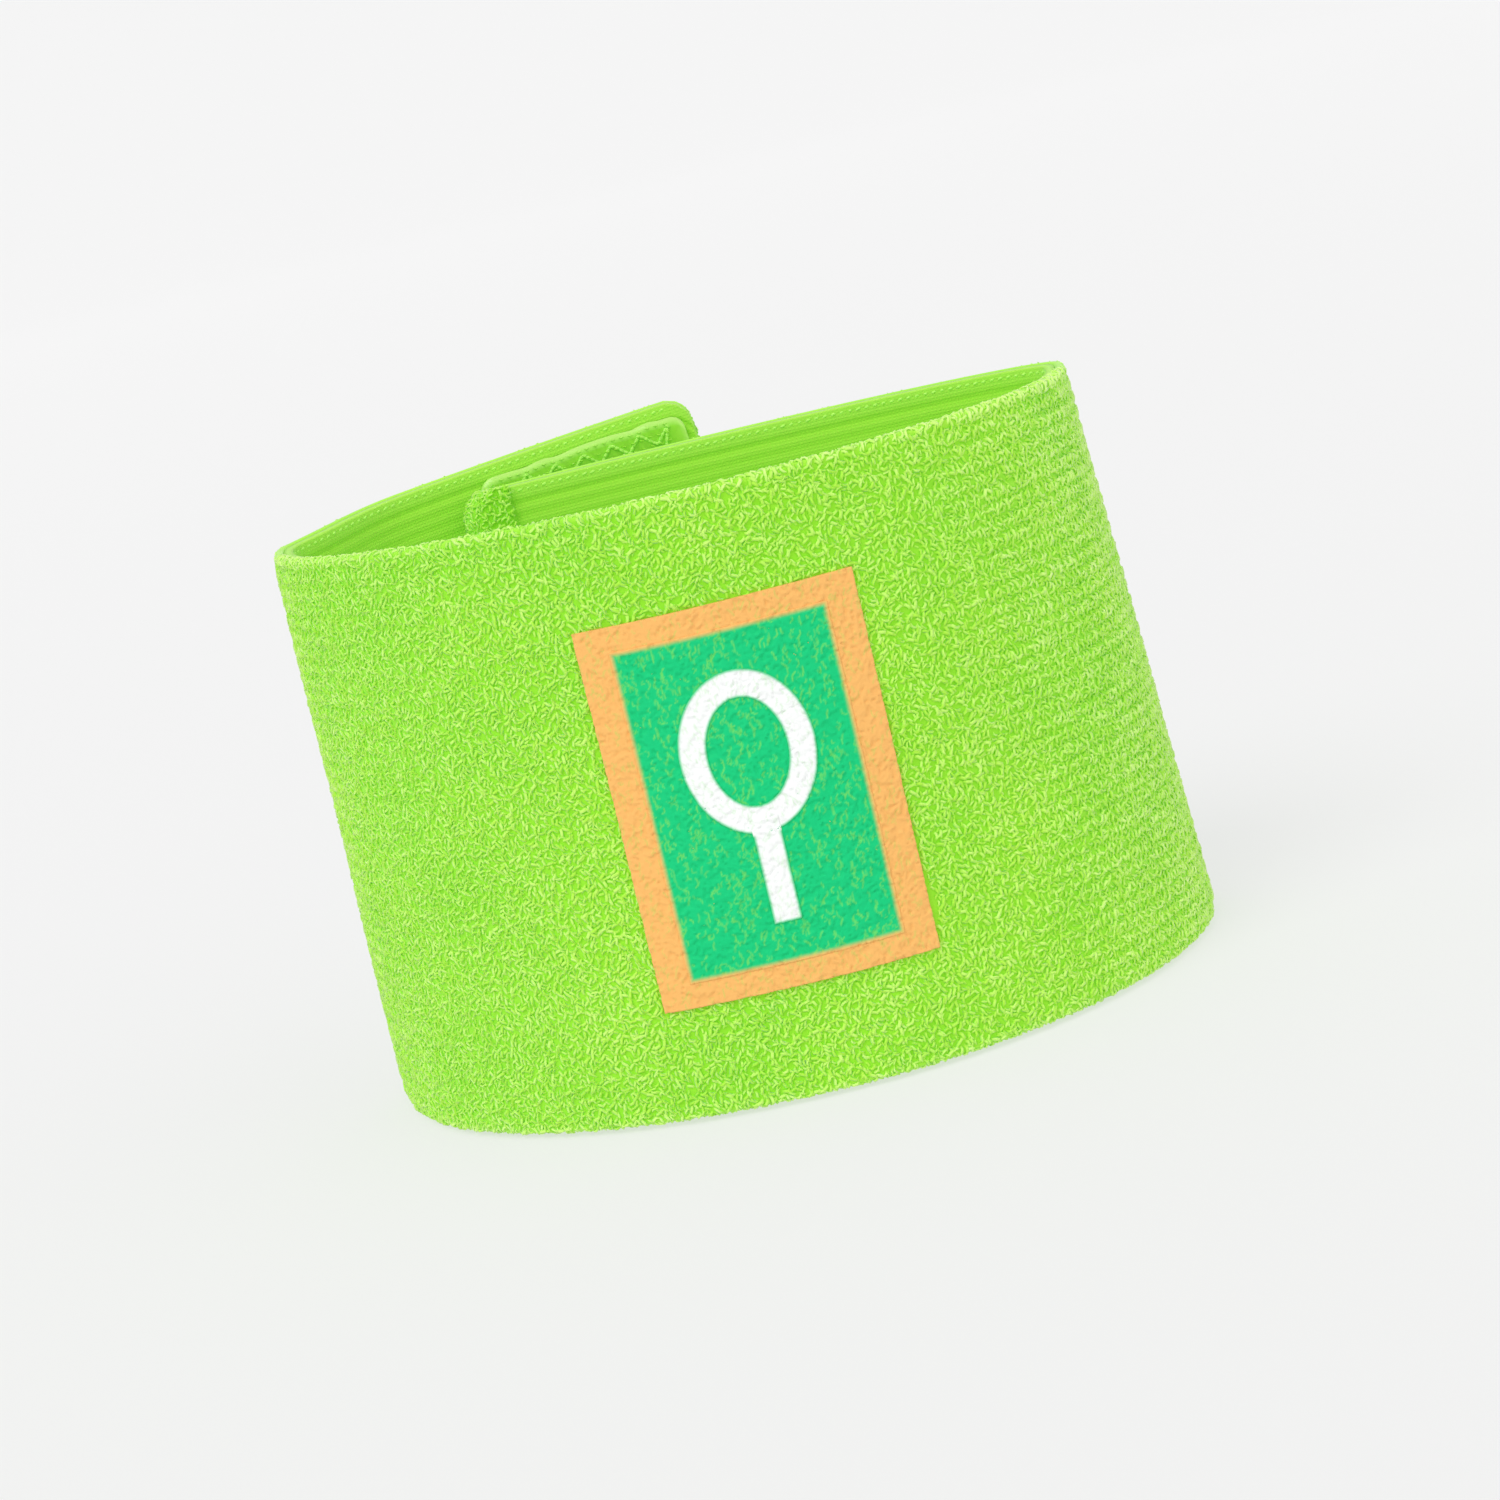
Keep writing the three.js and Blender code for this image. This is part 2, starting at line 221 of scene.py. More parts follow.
# Closed body from stations (first axis) of a closed section (second axis), capped at both ends.
def gridMesh(name, points, uv, material, grows=None, **values):
    stations, around = points.shape[:2]
    rows = np.arange(stations - 1)[:, None] * around
    here = np.arange(around)[None, :]
    nextOne = (here + 1) % around
    faces = quadsOf(rows + here, rows + nextOne, rows + around + nextOne, rows + around + here)
    faces += [list(range(around))[::-1], list(range((stations - 1) * around, stations * around))]
    mesh = bpy.data.meshes.new(name)
    mesh.from_pydata(points.reshape(-1, 3).tolist(), [], faces)
    writeUv(mesh, *np.broadcast_arrays(*uv))
    if grows is not None:
        attribute = mesh.attributes.new("grows", "BOOLEAN", "FACE")
        attribute.data.foreach_set("value", np.concatenate([grows.reshape(-1), [False, False]]))
    for label, value in values.items():
        writeValues(mesh, label, np.broadcast_to(value, points.shape[:2]))
    mesh.polygons.foreach_set("use_smooth", np.ones(len(mesh.polygons), bool))
    sharpEnds(mesh, around, stations)
    turnOut(mesh)
    mesh.materials.append(material)
    return inScene(name, mesh)


# Keeps the caps from bending the light on the faces beside them.
def sharpEnds(mesh, around, stations):
    ends = np.empty(len(mesh.edges) * 2, np.int32)
    mesh.edges.foreach_get("vertices", ends)
    ends = ends.reshape(-1, 2)
    sharp = (ends < around).all(1) | (ends >= around * (stations - 1)).all(1)
    mesh.attributes.new("sharp_edge", "BOOLEAN", "EDGE").data.foreach_set("value", sharp)


# Flips a closed mesh whose faces point inwards.
def turnOut(mesh):
    mesh.calc_loop_triangles()
    triangles = np.empty(len(mesh.loop_triangles) * 3, np.int32)
    mesh.loop_triangles.foreach_get("vertices", triangles)
    co = np.empty(len(mesh.vertices) * 3, np.float32)
    mesh.vertices.foreach_get("co", co)
    corners = co.reshape(-1, 3).astype(float)[triangles.reshape(-1, 3)]
    corners = corners - corners.mean((0, 1))
    if (corners[:, 0] * np.cross(corners[:, 1], corners[:, 2])).sum() < 0:
        mesh.flip_normals()


def stationsOf(start, end, step):
    return np.linspace(start, end, max(int(math.ceil((end - start) / step)), 1) + 1)


# Finishes.

# A screen colour from 0 to 255 as a linear one.
def colour(red, green, blue):
    def linear(value):
        share = value / 255
        return share / 12.92 if share <= 0.04045 else ((share + 0.055) / 1.055) ** 2.4
    return (linear(red), linear(green), linear(blue), 1.0)


def newMaterial(name, base, roughness, sheen=0.0, specular=0.25):
    material = bpy.data.materials.new(name)
    material.use_nodes = True
    shader = material.node_tree.nodes["Principled BSDF"]
    setInputs(shader, {"Base Color": base, "Roughness": roughness, "Sheen Weight": sheen,
                       "Sheen Roughness": 0.5, "Specular IOR Level": specular})
    return material, material.node_tree, shader


def setInputs(node, values):
    for key, value in values.items():
        node.inputs[key].default_value = value


# Links a socket to its source, or sets its value.
def feed(tree, socket, value):
    if isinstance(value, bpy.types.NodeSocket):
        tree.links.new(value, socket)
    else:
        socket.default_value = value


# A node with its settings, its input values and what is linked to its inputs, by socket name.
def addNode(tree, kind, settings=None, values=None, **links):
    node = tree.nodes.new(kind)
    for key, value in (settings or {}).items():
        setattr(node, key, value)
    setInputs(node, values or {})
    for key, source in links.items():
        tree.links.new(source, node.inputs[key.replace("_", " ")])
    return node


def mixColours(tree, factor, first, second, blend="MIX"):
    node = addNode(tree, "ShaderNodeMix", {"data_type": "RGBA", "blend_type": blend})
    for place, value in {0: factor, 6: first, 7: second}.items():
        feed(tree, node.inputs[place], value)
    return node.outputs[2]


def mathNode(tree, operation, *values):
    node = addNode(tree, "ShaderNodeMath", {"operation": operation})
    for socket, value in zip(node.inputs, values):
        feed(tree, socket, value)
    return node.outputs[0]


def attributeOf(tree, name):
    return addNode(tree, "ShaderNodeAttribute", {"attribute_name": name}).outputs["Fac"]


def solidPlace(tree):
    return addNode(tree, "ShaderNodeTexCoord").outputs["Object"]


def flatPlace(tree):
    return addNode(tree, "ShaderNodeUVMap", {"uv_map": "UVMap"}).outputs["UV"]


def noise(tree, place, scale, detail):
    node = addNode(tree, "ShaderNodeTexNoise", values={"Scale": scale, "Detail": detail}, Vector=place)
    return node.outputs["Fac"]


def wave(tree, place, direction, values):
    node = addNode(tree, "ShaderNodeTexWave", {"bands_direction": direction}, values, Vector=place)
    return node.outputs["Fac"]


def threeTones(tree, factor, low, between, high, share):
    ramp = addNode(tree, "ShaderNodeValToRGB", Fac=factor)
    ramp.color_ramp.elements[0].color = low
    ramp.color_ramp.elements[1].color = high
    ramp.color_ramp.elements.new(share).color = between
    return ramp.outputs["Color"]


# Emission: painted light that lifts the shade of the lime fabrics, which are no lamps; on the floor it gives an
# even brightness.
def addGlow(shader, look):
    setInputs(shader, {"Emission Color": look["glowColour"], "Emission Strength": look["glow"]})


# Gives a shader its colour, its fine relief and its glow, which is painted light.
def dress(tree, shader, look, shown, height):
    tree.links.new(shown, shader.inputs["Base Color"])
    depth = look["depth"] * mm
    relief = addNode(tree, "ShaderNodeBump", values={"Distance": depth, "Strength": 1.0}, Height=height)
    tree.links.new(relief.outputs["Normal"], shader.inputs["Normal"])
    if "glow" in look:
        addGlow(shader, look)


# Ground: painted shade between the loops and at their roots; tip: painted highlight on their crests.
terryFinish = {
    "ground": colour(146, 220, 44), "loop": colour(176, 232, 72), "tipHighlight": colour(216, 250, 138),
    "paintedCrestLight": 0.62, "fibreScale": 7000, "depth": 0.03, "patchScale": 90, "patchShare": 0.16,
    "glowColour": colour(130, 230, 20), "glow": 0.14,
}


def terryMaterial():
    look = terryFinish
    material, tree, shader = newMaterial("limeTerry", look["loop"], roughness=0.9, sheen=0.42)
    place = solidPlace(tree)
    # A loop's height picks its colour: painted shade low down, painted highlight on top.
    crest = mathNode(tree, "MULTIPLY", attributeOf(tree, "crest"), look["paintedCrestLight"])
    tone = mathNode(tree, "ADD", crest, attributeOf(tree, "shade"))
    toned = threeTones(tree, tone, look["ground"], look["loop"], look["tipHighlight"], 0.5)
    patch = noise(tree, place, look["patchScale"], 3.0)
    tinted = mixColours(tree, look["patchShare"], toned, patch, "OVERLAY")
    dress(tree, shader, look, tinted, noise(tree, place, look["fibreScale"], 2.0))
    return material


# Groove: painted shade between the ribs; edge: painted highlight on the selvedge.
liningFinish = {
    "rib": colour(172, 231, 72), "groove": colour(150, 219, 50), "edge": colour(178, 234, 88), "ribTone": 0.7,
    "courses": {"Scale": 1.1, "Distortion": 2.0, "Detail": 1.0, "Detail Scale": 3.0},
    "wales": {"Scale": 0.85, "Distortion": 1.2, "Detail": 1.0, "Detail Scale": 4.0},
    "knitShare": 0.08, "depth": 0.035, "glowColour": colour(128, 232, 20), "glow": 0.07,
}


# Ribbed elastic: fine knitted courses across the ribs, painted shade in the rib grooves and a painted highlight
# on the selvedge at both edges.
def liningMaterial():
    look = liningFinish
    material, tree, shader = newMaterial("limeLining", look["rib"], roughness=0.85, sheen=0.25)
    flat = flatPlace(tree)
    wales = wave(tree, flat, "X", look["wales"])
    knit = mathNode(tree, "MULTIPLY", wales, wave(tree, flat, "Y", look["courses"]))
    shade = attributeOf(tree, "shade")
    toned = threeTones(tree, shade, look["groove"], look["rib"], look["edge"], look["ribTone"])
    dress(tree, shader, look, mixColours(tree, look["knitShare"], toned, knit, "OVERLAY"), knit)
    return material


threadFinish = {"light": colour(198, 244, 126), "dark": colour(172, 234, 88), "depth": 0.02,
                "twist": {"Scale": 2600.0, "Distortion": 3.0}, "glowColour": colour(150, 232, 60), "glow": 0.16}


def threadMaterial():
    look = threadFinish
    material, tree, shader = newMaterial("limeThread", look["light"], roughness=0.7, sheen=0.2)
    twist = wave(tree, solidPlace(tree), "DIAGONAL", look["twist"])
    dress(tree, shader, look, mixColours(tree, twist, look["dark"], look["light"]), twist)
    return material


hookFinish = {"clear": colour(168, 232, 70), "deep": colour(148, 220, 44), "edge": colour(192, 240, 116),
              "coat": 0.2, "cloudScale": 1500.0, "depth": 0.03, "glowColour": colour(140, 230, 60), "glow": 0.04}


def hookMaterial():
    look = hookFinish
    material, tree, shader = newMaterial("hookNylon", look["clear"], roughness=0.38, specular=0.5)
    shader.inputs["Coat Weight"].default_value = look["coat"]
    cloud = noise(tree, solidPlace(tree), look["cloudScale"], 3.0)
    body = mixColours(tree, cloud, look["deep"], look["clear"])
    dress(tree, shader, look, mixColours(tree, attributeOf(tree, "edge"), body, look["edge"]), cloud)
    return material


filmFinish = {
    "orange": colour(250, 188, 106), "green": colour(4, 206, 126), "white": colour(251, 253, 252),
    "fleck": colour(128, 224, 92), "orangeFlecks": 0.35, "greenFlecks": 0.75, "whiteFlecks": 0.3,
    "grain": 6.0, "depth": 0.02,
}


# Printed transfer film: thin lime flecks where the pile shows through; an edge bleeds into its base.
def filmMaterial(inkName, edge=None):
    look = filmFinish
    material, tree, shader = newMaterial(f"{inkName}Film", look[inkName], roughness=0.62)
    flecks = mathNode(tree, "MULTIPLY", attributeOf(tree, "fleck"), look[f"{inkName}Flecks"])
    shown = mixColours(tree, flecks, look[inkName], look["fleck"])
    if edge:
        shown = mixColours(tree, attributeOf(tree, "edge"), shown, look[edge])
    dress(tree, shader, look, shown, noise(tree, flatPlace(tree), look["grain"], 3.0))
    return material


limeTerry = terryMaterial()
limeLining = liningMaterial()
limeThread = threadMaterial()
hookNylon = hookMaterial()
orangeFilm = filmMaterial("orange")
greenFilm = filmMaterial("green", edge="orange")
whiteFilm = filmMaterial("white", edge="green")
print("finishes made")


# Node trees that repeat loops, stitches and hooks.

# A tree with a material input and named sizes: whole numbers for seeds, the rest in metres or shares.
def newTree(name, sizes):
    tree = bpy.data.node_groups.new(name, "GeometryNodeTree")
    sockets = tree.interface
    sockets.new_socket("Geometry", in_out="INPUT", socket_type="NodeSocketGeometry")
    sockets.new_socket("Geometry", in_out="OUTPUT", socket_type="NodeSocketGeometry")
    sockets.new_socket("Material", in_out="INPUT", socket_type="NodeSocketMaterial")
    for label, value in sizes.items():
        kind = "NodeSocketInt" if isinstance(value, int) else "NodeSocketFloat"
        sockets.new_socket(label, in_out="INPUT", socket_type=kind).default_value = value
    return tree, tree.nodes.new("NodeGroupInput").outputs, tree.nodes.new("NodeGroupOutput").inputs


# Every tree ends in plain geometry with its material on it.
def endTree(tree, given, result, geometry):
    real = addNode(tree, "GeometryNodeRealizeInstances", Geometry=geometry)
    coated = addNode(tree, "GeometryNodeSetMaterial", Geometry=real.outputs[0], Material=given["Material"])
    tree.links.new(coated.outputs[0], result["Geometry"])
    return tree


# Runs a node tree on a piece and keeps the result as its plain mesh.
def growOn(piece, tree, values):
    modifier = piece.modifiers.new(tree.name, "NODES")
    modifier.node_group = tree
    identifiers = {item.name: item.identifier for item in tree.interface.items_tree
                   if item.in_out == "INPUT" and item.name != "Geometry"}
    for label, value in values.items():
        modifier[identifiers[label]] = value
    graph = bpy.context.evaluated_depsgraph_get()
    graph.update()
    mesh = bpy.data.meshes.new_from_object(piece.evaluated_get(graph), preserve_all_data_layers=True,
                                           depsgraph=graph)
    mesh.name = piece.name
    piece.modifiers.clear()
    piece.data = mesh
    return piece


def storedValue(tree, name, kind="FLOAT"):
    node = addNode(tree, "GeometryNodeInputNamedAttribute", {"data_type": kind}, {"Name": name})
    return node.outputs["Attribute"]


# Draws with different offsets from one seed don't follow each other.
def randomNumber(tree, low, high, seed, offset, kind="FLOAT"):
    node = tree.nodes.new("FunctionNodeRandomValue")
    node.data_type = kind
    first, last, out = {"FLOAT": (2, 3, 1), "INT": (4, 5, 2)}[kind]
    node.inputs[first].default_value = low
    node.inputs[last].default_value = high
    tree.links.new(mathNode(tree, "ADD", seed, offset), node.inputs["Seed"])
    return node.outputs[out]


# A bent tube on a path of start, two handles and end. Its own height is kept as "crest", from 0 at
# the root to 1 at the top.
def bentTube(tree, path, steps, sides, radius, crest=(0.0, 1.0)):
    line = addNode(tree, "GeometryNodeCurvePrimitiveBezierSegment", values={
        "Resolution": steps, "Start": path[0], "Start Handle": path[1], "End Handle": path[2], "End": path[3]})
    ring = addNode(tree, "GeometryNodeCurvePrimitiveCircle", values={"Resolution": sides, "Radius": radius})
    tube = addNode(tree, "GeometryNodeCurveToMesh", values={"Fill Caps": True},
                   Curve=line.outputs[0], Profile_Curve=ring.outputs[0])
    rounded = addNode(tree, "GeometryNodeSetShadeSmooth", Geometry=tube.outputs[0])
    place = addNode(tree, "ShaderNodeSeparateXYZ", Vector=tree.nodes.new("GeometryNodeInputPosition").outputs[0])
    height = addNode(tree, "ShaderNodeMapRange", values={"From Min": crest[0], "From Max": crest[1]},
                     Value=place.outputs["Z"])
    kept = addNode(tree, "GeometryNodeStoreNamedAttribute", {"data_type": "FLOAT", "domain": "POINT"},
                   {"Name": "crest"}, Geometry=rounded.outputs[0], Value=height.outputs[0])
    return addNode(tree, "GeometryNodeGeometryToInstance", Geometry=kept.outputs[0]).outputs[0]


def joined(tree, *geometries):
    node = tree.nodes.new("GeometryNodeJoinGeometry")
    for geometry in geometries:
        tree.links.new(geometry, node.inputs[0])
    return node.outputs[0]


def spin(tree, rotation, **angles):
    turn = addNode(tree, "ShaderNodeCombineXYZ", **angles)
    asRotation = addNode(tree, "FunctionNodeEulerToRotation", Euler=turn.outputs[0])
    node = addNode(tree, "FunctionNodeRotateRotation", {"rotation_space": "LOCAL"})
    tree.links.new(rotation, node.inputs[0])
    tree.links.new(asRotation.outputs[0], node.inputs[1])
    return node.outputs[0]


def aligned(tree, axis, vector, rotation=None, pivot="AUTO"):
    node = addNode(tree, "FunctionNodeAlignRotationToVector", {"axis": axis, "pivot_axis": pivot})
    if rotation is not None:
        tree.links.new(rotation, node.inputs["Rotation"])
    feed(tree, node.inputs["Vector"], vector)
    return node.outputs[0]


# One loop in shares of its size, its three bends, and how its size and tone vary.
loopShape = {"foot": 0.5, "root": -0.2, "shoulder": 0.4, "arch": 0.28, "steps": 3, "sides": 3, "radius": 0.2,
             "bends": ((-0.42, -0.3), (0.16, -0.3), (0.34, 0.5)), "crest": (-0.12, 0.34),
             "sizes": (0.75, 1.3), "tones": (-0.05, 0.35)}


def loopPath(bend, back):
    foot, root, shoulder, arch = (loopShape[key] for key in ("foot", "root", "shoulder", "arch"))
    return (-foot, 0, root), (-shoulder, bend, arch), (shoulder, back, arch), (foot, 0, root)


# Terry loops: small bent tubes, set at random angles over every face marked to grow.
def loopTree():
    tree, given, result = newTree("terryLoops", {"Spacing": 0.0004, "Loop size": 0.0009, "Spread": 1.0,
                                                 "Seed": 1})
    density = mathNode(tree, "DIVIDE", 3.0, mathNode(tree, "POWER", given["Spacing"], 2.0))
    points = addNode(tree, "GeometryNodeDistributePointsOnFaces", {"distribute_method": "POISSON"},
                     Mesh=given["Geometry"], Selection=storedValue(tree, "grows", "BOOLEAN"),
                     Distance_Min=given["Spacing"], Density_Max=density, Seed=given["Seed"])
    shape = loopShape
    bends = [bentTube(tree, loopPath(*pair), shape["steps"], shape["sides"], shape["radius"], shape["crest"])
             for pair in shape["bends"]]
    upright = aligned(tree, "X", (0, 0, 1), aligned(tree, "Z", points.outputs["Normal"]), "Z")
    turn = randomNumber(tree, -math.pi / 2, math.pi / 2, given["Seed"], 1)
    turn = mathNode(tree, "MULTIPLY", turn, given["Spread"])
    size = mathNode(tree, "MULTIPLY", randomNumber(tree, *shape["sizes"], given["Seed"], 2), given["Loop size"])
    size = mathNode(tree, "MULTIPLY", size, storedValue(tree, "loopShare"))
    placed = addNode(tree, "GeometryNodeInstanceOnPoints", values={"Pick Instance": True},
                     Points=points.outputs["Points"], Instance=joined(tree, *bends),
                     Instance_Index=randomNumber(tree, 0, len(bends) - 1, given["Seed"], 3, "INT"),
                     Rotation=spin(tree, upright, Z=turn), Scale=size)
    # A random tone for each loop, plus the painted highlight and shade of the face it grows on.
    tone = randomNumber(tree, *shape["tones"], given["Seed"], 4)
    tone = mathNode(tree, "ADD", tone, storedValue(tree, "shade"))
    shaded = addNode(tree, "GeometryNodeStoreNamedAttribute", {"data_type": "FLOAT", "domain": "INSTANCE"},
                     {"Name": "shade"}, Geometry=placed.outputs[0], Value=tone)
    return endTree(tree, given, result, joined(tree, given["Geometry"], shaded.outputs[0]))


# Stitches along a line: short threads lying on the fabric, each slanted across the line.
def stitchTree():
    tree, given, result = newTree("stitches", {"Pitch": 0.0008, "Length": 0.0009, "Thickness": 0.0003,
                                               "Slant": 0.5, "Seed": 1})
    line = addNode(tree, "GeometryNodeMeshToCurve", Mesh=given["Geometry"])
    spaced = addNode(tree, "GeometryNodeResampleCurve", {"mode": "LENGTH"}, Curve=line.outputs[0],
                     Length=given["Pitch"])
    bead = addNode(tree, "GeometryNodeMeshUVSphere", values={"Segments": 6, "Rings": 5, "Radius": 0.5})
    soft = addNode(tree, "GeometryNodeSetShadeSmooth", Geometry=bead.outputs[0])
    tangent = tree.nodes.new("GeometryNodeInputTangent").outputs[0]
    lying = aligned(tree, "Z", (0, 0, 1), aligned(tree, "X", tangent), "X")
    wobble = randomNumber(tree, 0.8, 1.2, given["Seed"], 1)
    size = addNode(tree, "ShaderNodeCombineXYZ", X=mathNode(tree, "MULTIPLY", given["Length"], wobble),
                   Y=given["Thickness"], Z=given["Thickness"])
    placed = addNode(tree, "GeometryNodeInstanceOnPoints", Points=spaced.outputs[0], Instance=soft.outputs[0],
                     Rotation=spin(tree, lying, Y=mathNode(tree, "MULTIPLY", given["Slant"], wobble)),
                     Scale=size.outputs[0])
    return endTree(tree, given, result, placed.outputs[0])


hookShape = {"path": ((0, 0, -0.05), (0, 0, 0.95), (0.55, 0, 1.25), (0.5, 0, 0.5)), "steps": 5, "sides": 4,
             "radius": 0.11, "turn": 0.25}


# Hook tape: a small bent hook on every face marked to grow, in rows.
def hookTree():
    tree, given, result = newTree("hooks", {"Hook size": 0.0005, "Seed": 1})
    kept = addNode(tree, "GeometryNodeSeparateGeometry", {"domain": "FACE"}, Geometry=given["Geometry"],
                   Selection=storedValue(tree, "grows", "BOOLEAN"))
    normal = addNode(tree, "GeometryNodeCaptureAttribute", Geometry=kept.outputs[0])
    normal.capture_items.new("VECTOR", "Out")
    normal.domain = "FACE"
    tree.links.new(tree.nodes.new("GeometryNodeInputNormal").outputs[0], normal.inputs[1])
    points = addNode(tree, "GeometryNodeMeshToPoints", {"mode": "FACES"}, Mesh=normal.outputs[0])
    hook = bentTube(tree, hookShape["path"], hookShape["steps"], hookShape["sides"], hookShape["radius"])
    standing = aligned(tree, "X", (1, 0, 0), aligned(tree, "Z", normal.outputs[1]), "Z")
    turn = randomNumber(tree, -hookShape["turn"], hookShape["turn"], given["Seed"], 1)
    placed = addNode(tree, "GeometryNodeInstanceOnPoints", Points=points.outputs[0], Instance=hook,
                     Rotation=spin(tree, standing, Z=turn), Scale=given["Hook size"])
    return endTree(tree, given, result, joined(tree, given["Geometry"], placed.outputs[0]))


terryLoops = loopTree()
stitches = stitchTree()
hooks = hookTree()
print("node trees made")


# The strip is made in ranges along it. Each one rides on a body; one at a fold, between two bodies, is baked in
# place and rides on neither. Reaches run along the strip, on each side of a fold; turns set where bendSpan puts
# a fold's start and stop.
folds = {"reach": 6.0, "turnBefore": 4.5, "turnAfter": 3.3, "peelReach": 5.0, "peelTurn": 3.4,
         "frontParts": 4, "underParts": 3}
nodesOfBody = {"tab": "tab", "left_strap": "left", "front": "front", "right_strap": "right"}


def rangesOfStrip():
    reach = folds["reach"]
    peelStart, peelEnd = peel - folds["peelReach"], peel + folds["peelReach"]
    frontEdges = np.linspace(leftFold + reach, rightFold - reach, folds["frontParts"] + 1)
    underEdges = np.linspace(rightFold + reach, stripEnd, folds["underParts"] + 1)
    rows = [("tab", 0.0, peelStart, ["tab"]), ("peel", peelStart, peelEnd, ["left_strap", "tab"]),
            ("left", peelEnd, leftFold - reach, ["left_strap"]),
            ("left_fold", leftFold - reach, leftFold + reach, ["front", "left_strap"])]
    rows += [(f"front_{i + 1}", *frontEdges[i:i + 2], ["front"]) for i in range(folds["frontParts"])]
    rows += [("right_fold", rightFold - reach, rightFold + reach, ["front", "right_strap"])]
    rows += [(f"under_{i + 1}", *underEdges[i:i + 2], ["right_strap"]) for i in range(folds["underParts"])]
    return rows


# Where a bending range starts and stops turning, as points of the frame in metres.
def bendSpan(name):
    if name == "peel":
        hinge = Vector(next(joint["pos_m"] for joint in frame["joints"] if joint["name"] == "tab_peel"))
        turn = folds["peelTurn"]
        sides = np.array([peel + turn, peel - turn])
        near, far = (Vector(point) for point in stripPoints(sides, -wall / 2, middle))
        along = (far - near).normalized()
        return hinge - along * turn * mm, hinge + along * turn * mm
    x = centreAt(middle) + (halfAt(middle) if name == "right_fold" else -halfAt(middle))
    return [Vector((x, foldY + y, middle)) * mm for y in (-folds["turnBefore"], folds["turnAfter"])]


def settle(piece, rangeName, bodies, kind):
    if len(bodies) == 1:
        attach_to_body(piece, bodies[0])
    else:
        start, end = bendSpan(rangeName)
        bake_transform(piece)
    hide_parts(*[f"{nodesOfBody[body]}_{node}" for body in bodies for node in kind])


# The same for a piece that stands for one node on one body.
def attach(piece, body, node):
    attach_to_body(piece, body)
    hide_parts(node)


# How much height a rounded corner takes at a distance from a free end.
def cornerLoss(distance, radius):
    inside = np.clip(radius - distance, 0, None)
    return radius - np.sqrt(radius * radius - inside * inside)


# Height t drawn in where the strip's free ends are rounded.
def trimmed(s, t):
    loss = np.where(s < leftFold, cornerLoss(s, band["tabCorner"]),
                    cornerLoss(stripEnd - s, band["underCorner"]))
    return middle + (t - middle) * (1 - loss / middle)


# Depth w drawn towards the middle of a layer at the free ends, so that they are rounded.
def nosed(s, w, centre, reach):
    distance = np.clip(np.minimum(s, stripEnd - s) / reach, 0, 1)
    return centre + (w - centre) * (0.15 + 0.85 * np.sqrt(1 - (1 - distance) ** 2))


def atEnds(stations, reach):
    extra = np.array([share * reach for share in (0.05, 0.2, 0.45, 0.75)])
    if stations[0] < 1e-6:
        stations = np.concatenate([[0.0], extra, stations[stations > reach]])
    if stations[-1] > stripEnd - 1e-6:
        stations = np.concatenate([stations[stations < stripEnd - reach], stripEnd - extra[::-1], [stripEnd]])
    return stations


badge = {"x": -0.1937, "z": 25.1, "width": 22.6, "height": 31.4, "sideBorder": 2.75, "endBorder": 2.25,
         "grid": 0.11, "sink": 0.4, "film": 0.06, "relief": 0.16, "fieldStep": 0.04, "markStep": 0.05,
         "handleStep": 0.015, "stroke": 2.0, "headWidth": 10.6, "headHeight": 13.0, "handle": 7.4,
         "turnSteps": 340, "acrossSteps": 21, "upSteps": 80, "bleed": 0.5, "markBleed": 0.3}


def insideBadge(s, t, margin):
    angle = np.interp(s - leftFold, stretchLengths[1], stretchParams[1])
    x = centreAt(t) + halfAt(t) * np.cos(angle)
    onFront = (s > leftFold) & (s < rightFold)
    return (onFront & (abs(x - badge["x"]) < badge["width"] / 2 - margin)
            & (abs(t - badge["z"]) < badge["height"] / 2 - margin))


# Terry: a ground cloth with curled loops all over its outer face and both of its long edges.
terry = {"along": 1.0, "ground": 0.32, "edge": 0.45, "rimTurn": ((0.18, 0.22), (0.4, 0.2)), "backEdge": 0.35,
         "backStep": 4.0, "spacing": 0.295, "loopSize": 0.68, "spread": 0.86, "nose": 0.7, "noseCentre": -0.75,
         "rimShare": 0.75, "paintedRimHighlight": 0.3, "ribPitch": 1.3, "ribDepth": 0.18, "paintedRibShading": 0.34,
         "ribPlain": 0.12, "ribLeft": 0.55, "grooveShrink": 0.35, "backSpacing": 1.08, "backRim": 0.36,
         "seed": 5}


def terrySection():
    outer = -terry["ground"]
    height = band["height"]
    faceHeights = stationsOf(terry["edge"], height - terry["edge"], terry["ribPitch"] / 4)
    over = [(outer - inwards, height - down) for inwards, down in terry["rimTurn"]]
    back = stationsOf(terry["backEdge"], height - terry["backEdge"], terry["backStep"])[::-1]
    section = [(outer, t) for t in faceHeights] + over + [(-band["pile"], t) for t in back]
    section += [(w, height - t) for w, t in over[::-1]]
    grows = [True] * (len(faceHeights) + 2) + [False] * (len(back) - 1) + [True] * 3
    return np.array(section), np.array(grows)


# Stretch ribs that run along the band, plainest towards its sides: -1 in a groove, 1 on a ridge.
def terryRib(s, t):
    amount = terry["ribPlain"] + (1 - terry["ribPlain"]) * smooth(s, badgeMiddle + 12, rightFold - 14)
    amount = amount + terry["ribLeft"] * (1 - smooth(s, leftFold + 4, leftFold + 24))
    worn = 0.6 + 0.4 * np.sin(0.55 * s + 4 * np.sin(1.7 * t))
    return amount * worn * np.cos(2 * math.pi * t / terry["ribPitch"])


def growLoops(piece, spacing, loopSize, spread, seed):
    return growOn(piece, terryLoops, {"Spacing": spacing * mm, "Loop size": loopSize * mm, "Spread": spread,
                                      "Seed": seed, "Material": limeTerry})


